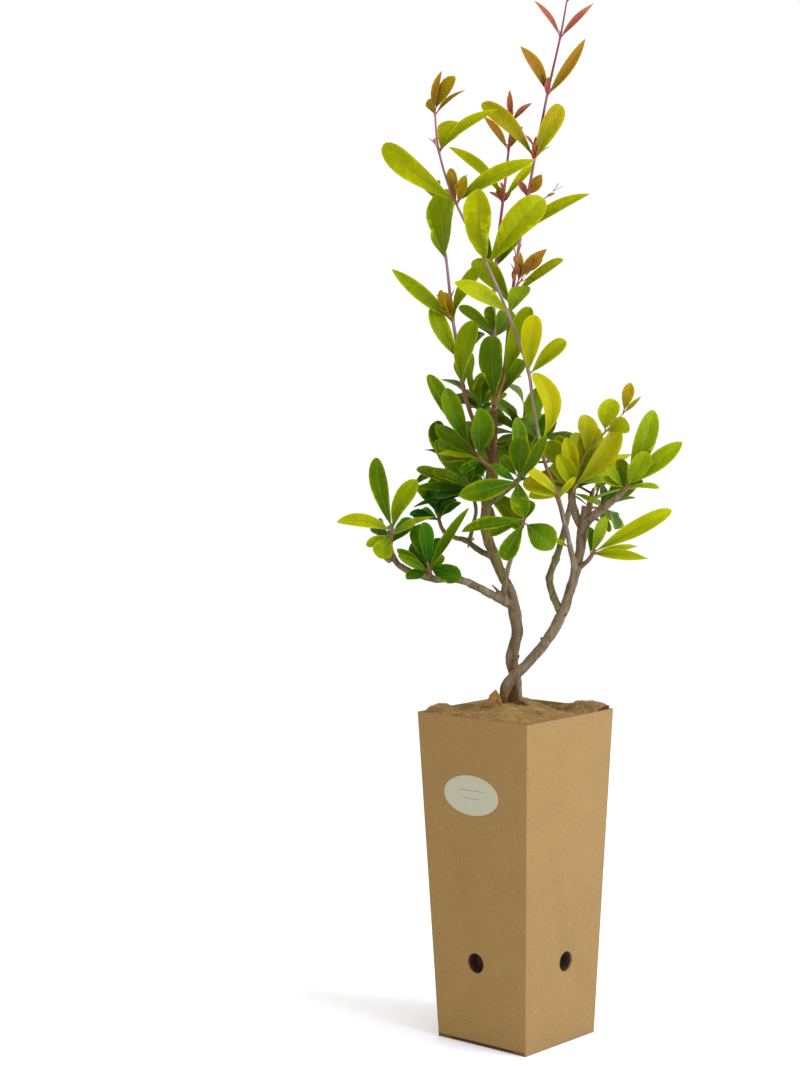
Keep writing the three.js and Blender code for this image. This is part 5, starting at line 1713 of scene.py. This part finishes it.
def raise_bark():
    """The trunk and boughs as one skin with collars at the forks and dead stubs, and the inner stem."""
    heap = Heap()
    for points in BARK.values():
        stem = Limb(points)
        tube(heap, stem, 0, stem.length, sides=18, step=2, rough=0.14)
    boughs = {name: bough for name, bough in BOUGHS.items() if not name.startswith("inner_stem")}
    for limb, start, end in boughs.values():
        if limb not in BARK:
            tube(heap, limbs[limb], start, end + 0.8, sides=14, step=2, rough=0.12)
    for limb in COLLARS:
        tube(heap, limbs[limb], 0, 5, sides=12, step=1.5, grow=0.4)
    for points in STUBS:
        stub = Limb(points)
        tube(heap, stub, 0, stub.length, sides=12, step=1, rough=0.2)
    grey = smooth_bark("grey_bark", srgb(128, 113, 86), srgb(96, 77, 47), srgb(168, 156, 130),
                       toned_by_place=True)
    skin = one_skin(heap, "bark_limbs", grey, 0.6, coarse=(0.42, 4.4), fine=(0.16, 1.2))
    tone_bark(skin)
    settle(skin, "bark", "trunk", *boughs)

    heap = Heap()
    tube(heap, limbs["innerStem"], 1.5, 89, sides=16, step=2, swell=(32, 47), rough=0.12)
    olive = smooth_bark("olive_bark", srgb(136, 127, 80), srgb(100, 88, 50), srgb(160, 150, 110))
    inner = one_skin(heap, "inner_bark", olive, 0.5, coarse=(0.2, 3.5), fine=(0.1, 1.0))
    settle(inner, "bark", "inner_stem", "inner_stem_top")


def rising(value, low, high):
    """From 0 to 1, smoothly, as a value goes from low to high."""
    share = max(0, min(1, (value - low) / (high - low)))
    return share * share * (3 - 2 * share)


def tone_bark(skin):
    """Writes where the bark is olive, where it turns to red-brown twig, and where its foot has peeled."""
    tones = skin.data.color_attributes.new("tone", "FLOAT_COLOR", "POINT")
    to_plant = PLANT.inverted()
    values = []
    for vertex in skin.data.vertices:
        x, y, z = to_plant @ vertex.co
        level = z + 9 * noise.noise((x / 14, y / 14, z / 30))
        olive = (rising(level, *OLIVE_FROM["height"]) * rising(-x, *OLIVE_FROM["left"])
                 * rising(y, *OLIVE_FROM["depth"]))
        twig = rising(level, *TWIG_FROM)
        foot = rising(level, *PEELED_BELOW["height"]) * rising(-x, *PEELED_BELOW["left"])
        values.extend((olive, twig, foot, 1))
    tones.data.foreach_set("color", values)


def wrinkle(skin, *layers):
    """Moves a skin in and out along its normals by layers of noise: a depth and a size in millimetres."""
    mesh = skin.data
    moved = []
    for vertex in mesh.vertices:
        place = vertex.co / MM
        long = Vector((place.x, place.y, place.z * 0.55))
        depth = sum(most * noise.noise(long / size) for most, size in layers)
        moved.append(vertex.co + vertex.normal * depth * MM)
    for vertex, place in zip(mesh.vertices, moved):
        vertex.co = place
    mesh.update()
    smooth(skin, 80)


def set_knots():
    """Small dark scars with a raised rim, and a dark tube of painted shade between the stems' feet."""
    rims, hearts_and_shade_plug = Heap(), Heap()
    for limb, height, degrees, size in KNOTS:
        foot, out = around(limbs[limb], height, degrees)
        side = sideways(out)
        across = np.cross(out, side)

        def ring(radius, depth):
            return [tuple(foot + out * depth + (side * 1.25 * math.cos(a) + across * math.sin(a)) * radius)
                    for a in np.linspace(0, 2 * math.pi, 10, endpoint=False)]

        rims.skin([ring(radius * size, depth) for radius, depth in KNOT_RIM])
        cone = [ring(radius * size, depth) for radius, depth in KNOT_HEART]
        hearts_and_shade_plug.skin([*cone, [tuple(foot + out * KNOT_TOP)]])
    bark = smooth_bark("knot_bark", srgb(112, 100, 82), srgb(84, 66, 46), srgb(140, 126, 104))
    settle(rims.mesh("knot_rims", bark), "bark", "trunk")
    # Painted shade: a dark tube in the hollow between the stems' feet, in the knots' dark finish.
    tube(hearts_and_shade_plug, Limb(SHADE_PLUG), 0, 22, sides=12, step=2, rough=0.2)
    settle(hearts_and_shade_plug.mesh("knot_hearts_and_shade_plug", shoot_skin("dead_wood_and_painted_shade", srgb(72, 50, 28), 0.95, 0.02)), "bark", "trunk")


# ------------------------------------------------------------------ the assembly

set_camera()
set_sky()
set_lamps()
lay_floor()

fold_pot()
lay_base_boards()
stick_label()
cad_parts["soil"].data.materials.clear()
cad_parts["soil"].data.materials.append(damp_soil())
lay_mat()
for flap_number, flap in enumerate(FLAPS):
    raise_flap(flap_number, flap)
strew_fibres()

crown = grow_crown()
dice = random.Random(3)
for grown in crown:
    fill_sprays(grown, dice)
    open_buds(grown, dice)
shootlets = grow_shootlets(crown, dice)
raise_bark()
set_knots()
grow_shoots(crown, shootlets)
hang_leaves(crown)
